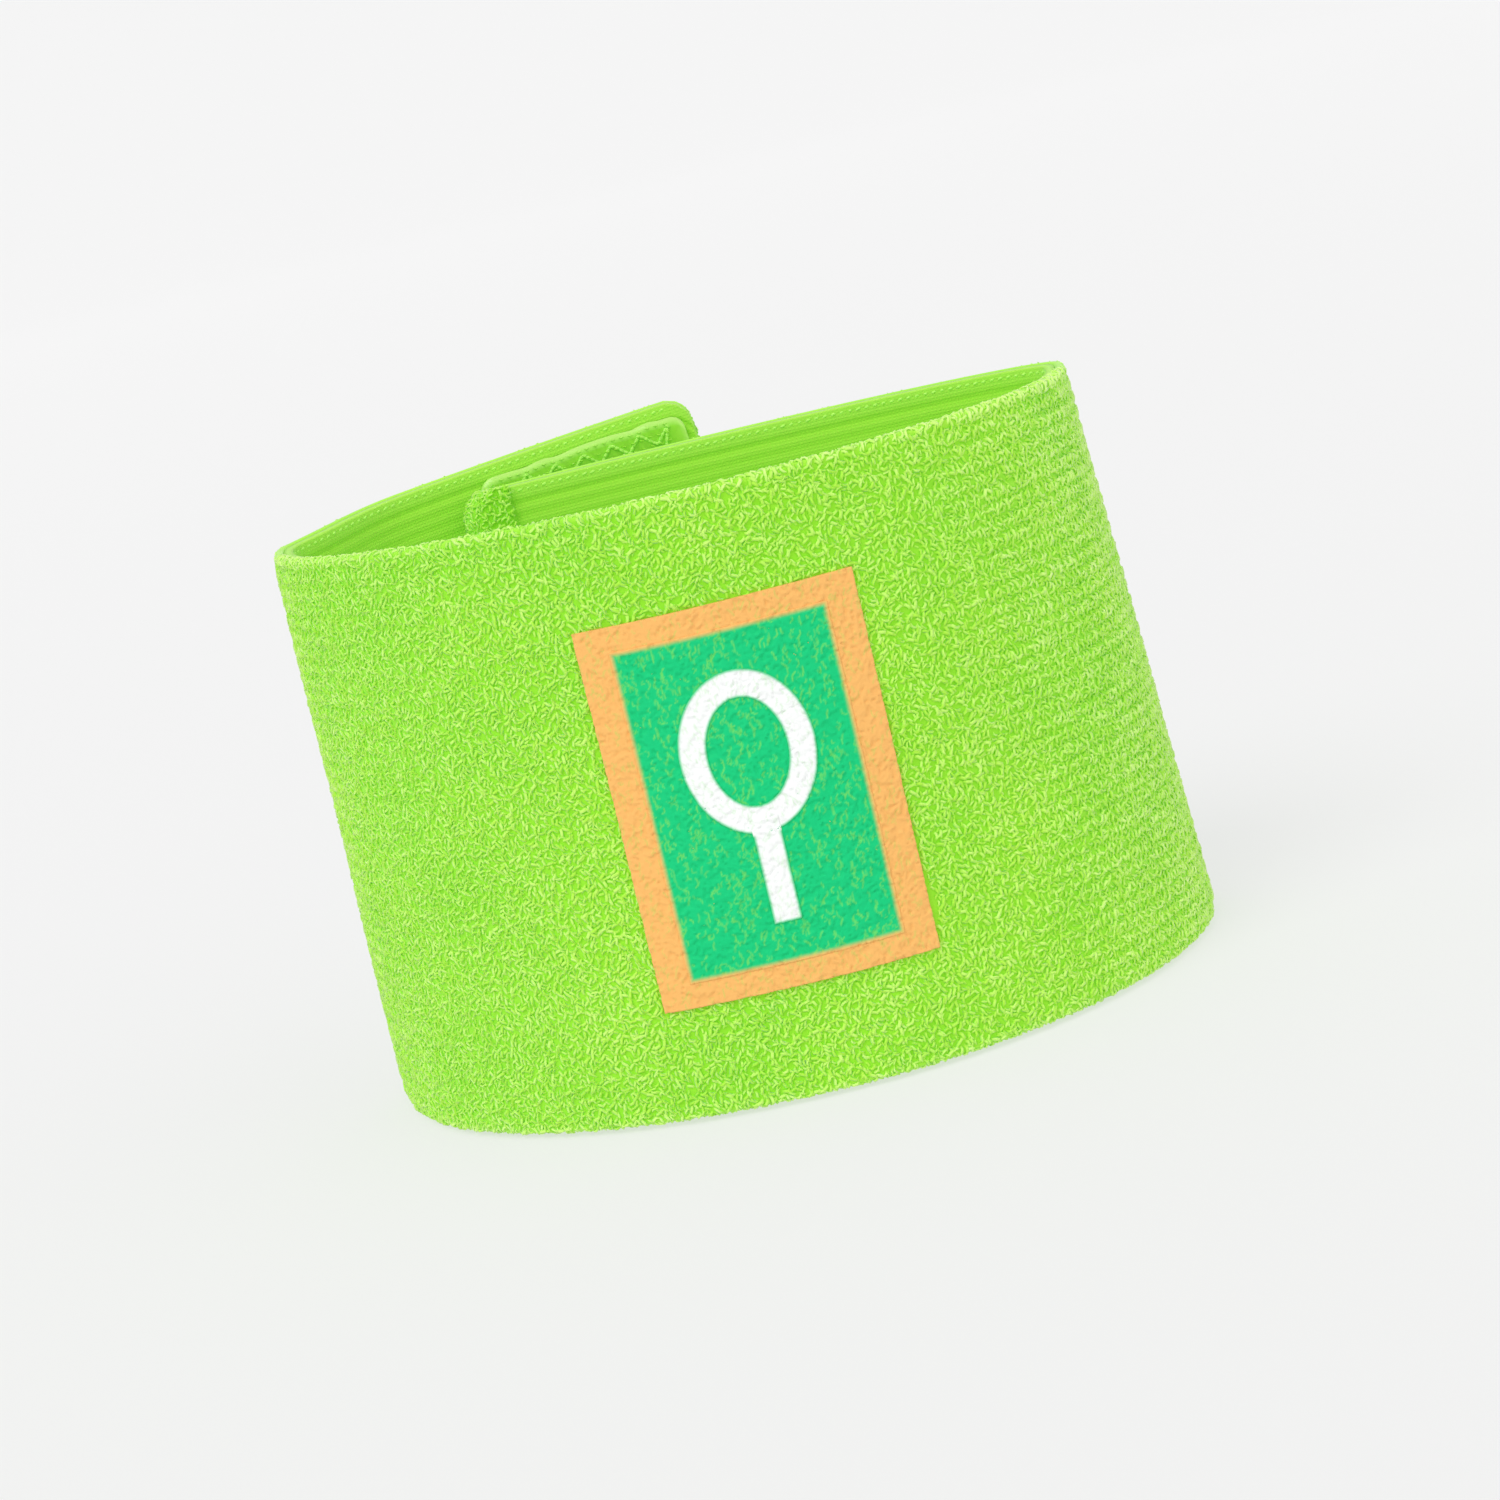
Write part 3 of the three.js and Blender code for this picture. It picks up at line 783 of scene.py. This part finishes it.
def makeTerry(index, rangeName, start, end, bodies):
    section, sectionGrows = terrySection()
    depth, height = section[None, :, 0], section[None, :, 1]
    s = atEnds(stationsOf(start, end, terry["along"]), terry["nose"])[:, None]
    outerFace = depth > -terry["ground"] - 0.01
    atFront = rangeName.startswith("front")
    rib = terryRib(s, height) * outerFace
    groove = np.maximum(-rib, 0)
    w = nosed(s, depth - terry["ribDepth"] * groove, terry["noseCentre"], terry["nose"])
    t = trimmed(s, height)
    midS = (s[1:] + s[:-1]) / 2
    midT = (height + np.roll(height, -1)) / 2
    nose = (midS < terry["nose"]) | (midS > stripEnd - terry["nose"])
    if not atFront:
        sectionGrows = sectionGrows & outerFace[0]
    grows = (sectionGrows[None, :] | nose) & ~insideBadge(midS, midT, 0.1)
    fromEdge = np.minimum(height, band["height"] - height)
    rimShare = terry["rimShare"] if atFront else terry["backRim"]
    flattened = 1 if atFront else mix(terry["backRim"], 1, smooth(fromEdge, 0.4, 1.6))
    share = np.where(outerFace, flattened * (1 - terry["grooveShrink"] * groove), rimShare)
    # Painted highlight along both long edges and on the rib ridges; painted shade in the rib grooves.
    shade = terry["paintedRimHighlight"] * (1 - smooth(fromEdge, 0.3, 1.0)) + terry["paintedRibShading"] * rib
    piece = gridMesh(f"terry_{rangeName}", stripPoints(s, w, t), (s, t), limeTerry, grows=grows,
                     loopShare=share, shade=shade)
    spacing = terry["spacing"] * (1 if atFront else terry["backSpacing"])
    piece = growLoops(piece, spacing, terry["loopSize"], terry["spread"], terry["seed"] + index)
    settle(piece, rangeName, bodies, ["pile"])
    return piece


# Lining: ribbed knitted elastic that stops short of the terry's long edges. A fine groove runs
# beside each selvedge.
lining = {"inset": 0.3, "edge": 0.12, "backStep": 5.0, "ribPitch": 1.08, "ribDepth": 0.045, "samples": 6,
          "along": 0.9, "selvedge": 1.5, "grooveFromEdge": 1.6, "grooveWidth": 0.25, "grooveDepth": 0.09,
          "weave": 0.03, "nose": 0.3, "noseCentre": -1.5,
          "backShade": 0.5, "lowShade": 0.35, "ribShade": 0.4, "selvedgeShade": 0.55}


def makeLining(rangeName, start, end, bodies):
    low = lining["inset"]
    high = band["height"] - lining["inset"]
    t = stationsOf(low + lining["edge"], high - lining["edge"], lining["ribPitch"] / lining["samples"])
    rib = 0.5 + 0.5 * np.cos(2 * math.pi * t / lining["ribPitch"])
    fromEdge = np.minimum(t - low, high - t)
    selvedge = 1 - smooth(fromEdge, lining["selvedge"] * 0.5, lining["selvedge"])
    groove = np.exp(-((fromEdge - lining["grooveFromEdge"]) / lining["grooveWidth"]) ** 2)
    inner = -wall + lining["ribDepth"] * (1 - rib) * (1 - selvedge) + lining["grooveDepth"] * groove
    # Painted shade in the rib grooves, painted highlight on the selvedge.
    tone = lining["lowShade"] + lining["ribShade"] * rib * (1 - selvedge) + lining["selvedgeShade"] * selvedge
    backT = stationsOf(low, high, lining["backStep"])
    w = np.concatenate([np.full(len(backT), -band["pile"] - band["layerGap"]), inner[::-1]])
    tAll = np.concatenate([backT, t[::-1]])[None, :]
    shade = np.concatenate([np.full(len(backT), lining["backShade"]), tone[::-1]])
    s = atEnds(stationsOf(start, end, lining["along"]), lining["nose"])[:, None]
    weave = lining["weave"] * np.sin(s * 2.6 + 2.0 * np.sin(tAll * 0.9)) * (tAll > 1)
    depth = nosed(s, w[None, :] + weave, lining["noseCentre"], lining["nose"])
    heights = trimmed(s, tAll)
    piece = gridMesh(f"lining_{rangeName}", stripPoints(s, depth, heights), (s, heights), limeLining,
                     shade=shade[None, :])
    settle(piece, rangeName, bodies, ["lining"])


# A line of stitches: its points become an edge chain that the tree follows.
def stitchPiece(name, lines, look, index=0):
    mesh = bpy.data.meshes.new(name)
    edges = []
    first = 0
    for line in lines:
        edges += [(first + k, first + k + 1) for k in range(len(line) - 1)]
        first += len(line)
    mesh.from_pydata(np.concatenate(lines).tolist(), edges, [])
    return growOn(inScene(name, mesh), stitches, {
        "Pitch": look["pitch"] * mm, "Length": look["length"] * mm, "Thickness": look["thickness"] * mm,
        "Slant": look["slant"], "Seed": look["seed"] + index, "Material": limeThread})


edgeStitch = {"inset": 0.85, "sink": 0.03, "grid": 0.6,
              "pitch": 0.73, "length": 0.5, "thickness": 0.24, "slant": 0.25, "seed": 21}


def makeEdgeStitches(index, rangeName, start, end, bodies):
    s = stationsOf(start, min(end, stripEnd - band["wrapLength"]), edgeStitch["grid"])
    s = s[s > band["tabCorner"]]
    lines = [stripPoints(s, -wall + edgeStitch["sink"], trimmed(s, t)) for t in
             (edgeStitch["inset"], band["height"] - edgeStitch["inset"])]
    piece = stitchPiece(f"edge_stitches_{rangeName}", lines, edgeStitch, index)
    settle(piece, rangeName, bodies, ["rim_stitch", "foot_stitch"])


for index, (rangeName, start, end, bodies) in enumerate(rangesOfStrip()):
    made = makeTerry(index, rangeName, start, end, bodies)
    makeLining(rangeName, start, end, bodies)
    makeEdgeStitches(index, rangeName, start, end, bodies)
    made.data.calc_loop_triangles()
    print(f"{rangeName}: terry of {len(made.data.loop_triangles)} triangles")


# Stations from low to high, closer together where a corner of the outline turns.
cornerShares = (0, 0.03, 0.12, 0.35, 0.65)


def corneredStations(low, high, corner, step):
    ends = corner * np.array(cornerShares)
    return np.concatenate([low + ends, stationsOf(low + corner, high - corner, step), high - ends[::-1]])


# A bell of 1 at no distance that fades over a reach.
def fading(distance, reach):
    return np.exp(-(distance / reach) ** 2)


# Hook tape on the inner face of the tab, in outer strap places: x along it, w outwards, t up.
tape = {"margin": 1.55, "start": 0.6, "end": 0.7, "corner": 1.3, "gap": 0.06, "web": 0.42, "grid": 0.8,
        "hook": 0.62, "wave": 0.1, "waveReach": 1.2, "lightEnds": 0.3, "lightSides": 0.35, "seed": 31}
tapeStitch = {"inset": 1.4, "lift": 0.08, "zigzag": 0.65, "zigzagPitch": 2.4,
              "pitch": 0.42, "length": 0.6, "thickness": 0.3, "slant": 0.0, "seed": 33}


def tabPlace(x, w, t):
    s = np.interp(-np.asarray(x, float), -stretchParams[0], stretchLengths[0])
    return stripPoints(s, w, t)


def makeHookTape():
    left = band["peelX"] + tape["start"]
    right = band["tabEndX"] - tape["end"]
    corner = tape["corner"]
    x = corneredStations(left, right, corner, tape["grid"])[:, None]
    t = stationsOf(tape["margin"], band["height"] - tape["margin"], tape["grid"])
    high = -wall - tape["gap"]
    low = high - tape["web"]
    w = np.concatenate([np.full(len(t), high), np.full(len(t), low)])[None, :]
    tAll = np.concatenate([t, t[::-1]])[None, :]
    fromSide = np.minimum(tAll - t[0], t[-1] - tAll)
    fromEnd = np.minimum(x - left, right - x)
    phase = (tAll > middle) * 1.3 + 1.5 * np.sin(x * 0.7)
    wobble = tape["wave"] * np.sin(x * 1.3 + phase) * fading(fromSide, tape["waveReach"])
    loss = cornerLoss(fromEnd, corner)
    heights = middle + (tAll - middle + wobble) * (1 - loss / (middle - tape["margin"]))
    facing = np.zeros((len(x) - 1, tAll.size), bool)
    facing[len(cornerShares):-len(cornerShares), len(t):-1] = True
    light = np.maximum(fading(fromSide, tape["lightSides"]), fading(fromEnd, tape["lightEnds"]))
    piece = gridMesh("tape_of_hooks", tabPlace(x, w, heights), (x, heights), hookNylon, grows=facing, edge=light)
    piece = growOn(piece, hooks, {"Hook size": tape["hook"] * mm, "Seed": tape["seed"], "Material": hookNylon})
    attach(piece, "tab", "hook_tape")

    inset = tapeStitch["inset"]
    bottom, top = t[0] + inset, t[-1] - inset
    first, last = left + inset, right - inset
    corners = [(first, bottom), (last, bottom), (last, top), (first, top), (first, bottom)]
    line = []
    for (xa, ta), (xb, tb) in zip(corners, corners[1:]):
        turns = round(math.hypot(xb - xa, tb - ta) / tapeStitch["zigzagPitch"]) * 2
        share = np.linspace(0, 1, turns + 1)[:-1]
        side = tapeStitch["zigzag"] * (-1) ** np.arange(turns)
        upright = abs(tb - ta) > abs(xb - xa)
        alongX = mix(xa, xb, share) + side * upright
        alongT = mix(ta, tb, share) + side * (not upright)
        line.append(tabPlace(alongX, low - tapeStitch["lift"], alongT))
    path = np.concatenate(line + [line[0][:1]])
    attach(stitchPiece("hook_tape_stitches", [path], tapeStitch), "tab", "hook_tape_stitch")


makeHookTape()
print("hook tape made")


# Pile turned round the under strap's free end, with a bar tack through it.
wrap = {"inset": 0.2, "grid": 0.5, "leg": 0.35, "noseShift": 0.25, "noseReach": 0.75, "noseSteps": 9,
        "legSteps": 7, "slotShift": 0.6, "loopSize": 0.62, "spacing": 0.28, "seed": 41}
barTack = {"height": 24.0, "inset": 0.8, "lift": 0.28, "grid": 0.6,
           "pitch": 1.5, "length": 1.5, "thickness": 0.34, "slant": 0.6, "seed": 43}


def underPlace(x, w, t):
    return loopPoints(backAngle(x, t), t, w)


# The wrap's outline from above: out round the nose and back, then round the strap's own end.
def wrapProfile(backX, outer, inner):
    noseX = band["underEndX"] + wrap["noseShift"]
    slotX = band["underEndX"] + band["wrap"] + wrap["slotShift"]
    reach = wrap["noseReach"]
    depth = (outer - inner) / 2
    nose = [(noseX + reach + reach * math.cos(a), (outer + inner) / 2 + depth * math.sin(a))
            for a in np.linspace(math.pi / 2, 1.5 * math.pi, wrap["noseSteps"])]
    legX = np.linspace(backX, noseX + reach, wrap["legSteps"])[:-1]
    outside = [(x, outer) for x in legX] + nose + [(x, inner) for x in legX[::-1]]
    inside = [(backX, -wall - band["layerGap"]), (slotX, -wall - band["layerGap"]),
              (slotX, band["layerGap"]), (backX, band["layerGap"])]
    return np.array(outside + inside), np.array([True] * (len(outside) - 1) + [False] * 5)


def makeEndWrap():
    backX = band["underEndX"] + band["wrapLength"]
    outer = band["layerGap"] + wrap["leg"]
    inner = -wall - band["layerGap"] - wrap["leg"]
    profile, grows = wrapProfile(backX, outer, inner)
    low = wrap["inset"]
    high = band["height"] - wrap["inset"]
    rise = band["underCorner"] - band["wrap"]
    t = corneredStations(low, high, rise, wrap["grid"])[:, None]
    loss = cornerLoss(np.minimum(t - low, high - t), rise)
    x = mix(profile[None, :, 0], backX, np.clip(loss / band["wrapLength"], 0, 0.98))
    w = np.broadcast_to(profile[None, :, 1], x.shape)
    piece = gridMesh("wrap_of_pile", underPlace(x, w, t), (x, t), limeTerry,
                     grows=np.broadcast_to(grows, (len(t) - 1, len(profile))), loopShare=1.0, shade=0.0)
    piece = growLoops(piece, wrap["spacing"], wrap["loopSize"], 1.0, wrap["seed"])
    attach(piece, "right_strap", "end_wrap")
    tackT = stationsOf(middle - barTack["height"] / 2, middle + barTack["height"] / 2, barTack["grid"])
    line = underPlace(backX - barTack["inset"] + tackT * 0, inner - barTack["lift"], tackT)
    attach(stitchPiece("end_wrap_stitches", [line], barTack), "right_strap", "end_wrap_stitch")


makeEndWrap()
print("end wrap made")


# Short curled ridges drawn at random over the badge: the pile that shows through the printed film.
# Two maps of them, in cells: one lifts the film and one flecks it.
pileMaps = {"cell": 0.05, "margin": 10, "bend": 0.22, "crests": (0.5, 1.0), "seed": 7,
            "relief": {"perArea": 6.5, "width": 0.32, "lengths": (0.45, 0.9), "spread": math.pi / 2},
            "flecks": {"perArea": 2.4, "width": 0.15, "lengths": (0.15, 0.75), "spread": 0.7}}


def curls(perArea, width, lengths, spread, seed):
    cell = pileMaps["cell"]
    margin = pileMaps["margin"]
    wide = int(badge["width"] / cell) + 2 * margin
    tall = int(badge["height"] / cell) + 2 * margin
    drawn = np.zeros((tall, wide))
    draw = np.random.default_rng(seed)
    count = int(badge["width"] * badge["height"] * perArea)
    across = draw.uniform(0, wide, count)
    up = draw.uniform(0, tall, count)
    heading = math.pi / 2 + draw.uniform(-1, 1, count) * spread
    length = draw.uniform(*lengths, count) / 2 / cell
    bend = draw.uniform(-pileMaps["bend"], pileMaps["bend"], count) / cell
    crest = draw.uniform(*pileMaps["crests"], count)
    reach = int((lengths[1] / 2 + width + 0.25) / cell)
    for i in range(count):
        left, bottom = max(int(across[i]) - reach, 0), max(int(up[i]) - reach, 0)
        right, top = min(int(across[i]) + reach, wide), min(int(up[i]) + reach, tall)
        rows, columns = np.mgrid[bottom:top, left:right]
        dx, dy = columns - across[i], rows - up[i]
        along = dx * math.cos(heading[i]) + dy * math.sin(heading[i])
        side = dy * math.cos(heading[i]) - dx * math.sin(heading[i])
        side = side - bend[i] * (1 - np.clip(along / length[i], -1, 1) ** 2)
        past = np.clip(abs(along) - length[i], 0, None)
        distance = np.hypot(side, past) * cell / (width / 2)
        ridge = crest[i] * np.sqrt(np.clip(1 - distance ** 2, 0, 1))
        window = drawn[bottom:top, left:right]
        np.maximum(window, ridge, out=window)
    return drawn


reliefMap = curls(**pileMaps["relief"], seed=pileMaps["seed"])
fleckMap = curls(**pileMaps["flecks"], seed=pileMaps["seed"] + 1)


def readMap(drawn, x, t):
    column = (x - badge["x"] + badge["width"] / 2) / pileMaps["cell"] + pileMaps["margin"]
    row = (t - badge["z"] + badge["height"] / 2) / pileMaps["cell"] + pileMaps["margin"]
    tall, wide = drawn.shape
    column, row = np.clip(column, 0, wide - 2.001), np.clip(row, 0, tall - 2.001)
    i, j = row.astype(int), column.astype(int)
    a, b = row - i, column - j
    return (drawn[i, j] * (1 - a) * (1 - b) + drawn[i + 1, j] * a * (1 - b)
            + drawn[i, j + 1] * (1 - a) * b + drawn[i + 1, j + 1] * a * b)


# A place on the front, x across and t up, at a height over the band's outer face.
def frontPlace(x, t, height):
    angle = 2 * math.pi - backAngle(x, t)
    s = leftFold + np.interp(angle, stretchParams[1], stretchLengths[1])
    return loopPoints(angle, t, height + ripple(s, t))


# Closed film from a grid of places, rows going up: a raised top, straight sides and a back drawn
# from the bottom row to the top row. A ring joins its last row to its first instead.
def filmPiece(name, x, t, step, material, node, ring=False, edge=0.0):
    rows, columns = x.shape
    height = badge["film"] + step + badge["relief"] * (readMap(reliefMap, x, t) - 0.5)
    index = np.arange(rows * columns).reshape(rows, columns)
    if ring:
        following = np.roll(index, -1, axis=0)
        under = np.arange(rows * 2).reshape(rows, 2) + rows * columns
        underNext = np.roll(under, -1, axis=0)
        backX, backT = x[:, [0, -1]], t[:, [0, -1]]
        faces = quadsOf(index[:, :-1], index[:, 1:], following[:, 1:], following[:, :-1])
        smoothFaces = len(faces)
        faces += quadsOf(under[:, 1], under[:, 0], underNext[:, 0], underNext[:, 1])
        faces += quadsOf(index[:, 0], following[:, 0], underNext[:, 0], under[:, 0])
        faces += quadsOf(following[:, -1], index[:, -1], under[:, 1], underNext[:, 1])
    else:
        low = np.arange(columns) + rows * columns
        high = low + columns
        backX, backT = x[[0, -1]], t[[0, -1]]
        faces = quadsOf(index[:-1, :-1], index[:-1, 1:], index[1:, 1:], index[1:, :-1])
        smoothFaces = len(faces)
        faces += quadsOf(low[1:], low[:-1], high[:-1], high[1:])
        faces += quadsOf(index[0, 1:], index[0, :-1], low[:-1], low[1:])
        faces += quadsOf(index[-1, :-1], index[-1, 1:], high[1:], high[:-1])
        faces += [index[:, 0].tolist() + [int(high[0]), int(low[0])]]
        faces += [index[::-1, -1].tolist() + [int(low[-1]), int(high[-1])]]
    points = np.concatenate([frontPlace(x, t, height).reshape(-1, 3),
                             frontPlace(backX, backT, -badge["sink"]).reshape(-1, 3)])
    mesh = bpy.data.meshes.new(name)
    mesh.from_pydata(points.tolist(), [], faces)
    writeUv(mesh, np.append(x, backX), np.append(t, backT))
    for label, value in {"edge": edge, "fleck": readMap(fleckMap, x, t)}.items():
        writeValues(mesh, label, np.append(np.broadcast_to(value, x.shape), np.zeros(backX.size)))
    mesh.polygons.foreach_set("use_smooth", np.arange(len(mesh.polygons)) < smoothFaces)
    turnOut(mesh)
    mesh.materials.append(material)
    attach(inScene(name, mesh), "front", node)


def filmGrid(halfWide, halfTall):
    return np.meshgrid(badge["x"] + stationsOf(-halfWide, halfWide, badge["grid"]),
                       badge["z"] + stationsOf(-halfTall, halfTall, badge["grid"]))


# The field bleeds into its border on both sides of their shared edge.
def makeBadge():
    x, t = filmGrid(badge["width"] / 2, badge["height"] / 2)
    filmPiece("badge_border_film", x, t, 0.0, orangeFilm, "badge_base")
    halfWide = badge["width"] / 2 - badge["sideBorder"] + badge["bleed"] / 2
    halfTall = badge["height"] / 2 - badge["endBorder"] + badge["bleed"] / 2
    x, t = filmGrid(halfWide, halfTall)
    inside = np.minimum(halfWide - abs(x - badge["x"]), halfTall - abs(t - badge["z"]))
    edge = 1 - smooth(inside, 0.0, badge["bleed"])
    filmPiece("badge_field_film", x, t, badge["fieldStep"], greenFilm, "badge_field", edge=edge)


# The mark is a plain racket outline: an oval ring on a straight handle.
def makeMark():
    bleed = badge["markBleed"]
    half = (badge["stroke"] + bleed) / 2
    headX, headZ = (badge["headWidth"] + bleed) / 2, (badge["headHeight"] + bleed) / 2
    foot = badge["z"] - (badge["headHeight"] + badge["handle"] + bleed) / 2
    centreZ = badge["z"] + badge["handle"] / 2
    step = badge["fieldStep"] + badge["markStep"]
    turn = np.linspace(0, 2 * math.pi, badge["turnSteps"])[:-1, None]
    across = np.linspace(0, 1, badge["acrossSteps"])[None, :]
    x = badge["x"] + (headX - 2 * half * across) * np.cos(turn)
    t = centreZ + (headZ - 2 * half * across) * np.sin(turn)
    edge = 1 - smooth(np.minimum(across, 1 - across) * 2 * half + 0 * turn, 0.0, bleed)
    filmPiece("badge_mark_film", x, t, step, whiteFilm, "badge_mark", ring=True, edge=edge)
    side = np.linspace(-half, half, badge["acrossSteps"])[None, :]
    head = centreZ - headZ * np.sqrt(1 - (side / headX) ** 2) + half
    t = mix(foot, head, np.linspace(0, 1, badge["upSteps"])[:, None])
    x = badge["x"] + side + 0 * t
    edge = 1 - smooth(np.minimum(half - abs(side), t - foot), 0.0, bleed)
    edge = edge * (1 - smooth(t, head - half - bleed, head - half))
    filmPiece("badge_mark_handle_film", x, t, step + badge["handleStep"], whiteFilm, "badge_mark", edge=edge)


makeBadge()
makeMark()
print("badge made")


# Plain pale floor that turns up all round into a backdrop, like a wide dish, and soft studio light.
studio = {"paper": 0.26, "glowColour": (1, 1, 1, 1), "glow": 0.6, "world": 0.72, "sink": 0.3,
          "sides": 72, "rings": 16, "flat": 2.5, "dish": 3.0, "bend": 2.0,
          "keySide": (-0.6, -0.7, 1.1), "keyStrength": 1.1, "keyAngle": 35,
          "fillSide": (0.9, -0.5, 0.7), "fillStrength": 0.4, "fillAngle": 60}


def makeFloor():
    material, _, shader = newMaterial("paper", (studio["paper"],) * 3 + (1,), roughness=0.9)
    addGlow(shader, studio)
    sides = studio["sides"]
    bend = studio["bend"]
    profile = [(studio["flat"], 0.0)] + [(studio["dish"] + bend * math.sin(a), bend - bend * math.cos(a))
                                         for a in np.linspace(0, math.pi / 2, studio["rings"])]
    around = np.arange(sides) * 2 * math.pi / sides
    vertices = [(r * math.cos(a), r * math.sin(a), z - studio["sink"] * mm) for r, z in profile for a in around]
    faces = [list(range(sides))]
    for i in range(len(profile) - 1):
        ring = np.arange(sides) + i * sides
        nextOne = np.roll(ring, -1)
        faces += quadsOf(ring, nextOne, nextOne + sides, ring + sides)
    mesh = bpy.data.meshes.new("floor")
    mesh.from_pydata(vertices, [], faces)
    mesh.polygons.foreach_set("use_smooth", np.arange(len(mesh.polygons)) > 0)
    mesh.materials.append(material)
    inScene("floor", mesh)


def makeStudio():
    scene = bpy.context.scene
    scene.view_settings.view_transform = "Standard"
    world = bpy.data.worlds.new("studio")
    world.use_nodes = True
    setInputs(world.node_tree.nodes["Background"], {"Color": (1, 1, 1, 1), "Strength": studio["world"]})
    scene.world = world
    makeFloor()
    for name in ("key", "fill"):
        data = bpy.data.lights.new(name, "SUN")
        data.energy = studio[f"{name}Strength"]
        data.angle = math.radians(studio[f"{name}Angle"])
        light = inScene(name, data)
        light.rotation_euler = (-Vector(studio[f"{name}Side"])).to_track_quat("-Z", "Y").to_euler()


makeStudio()
print("studio made")
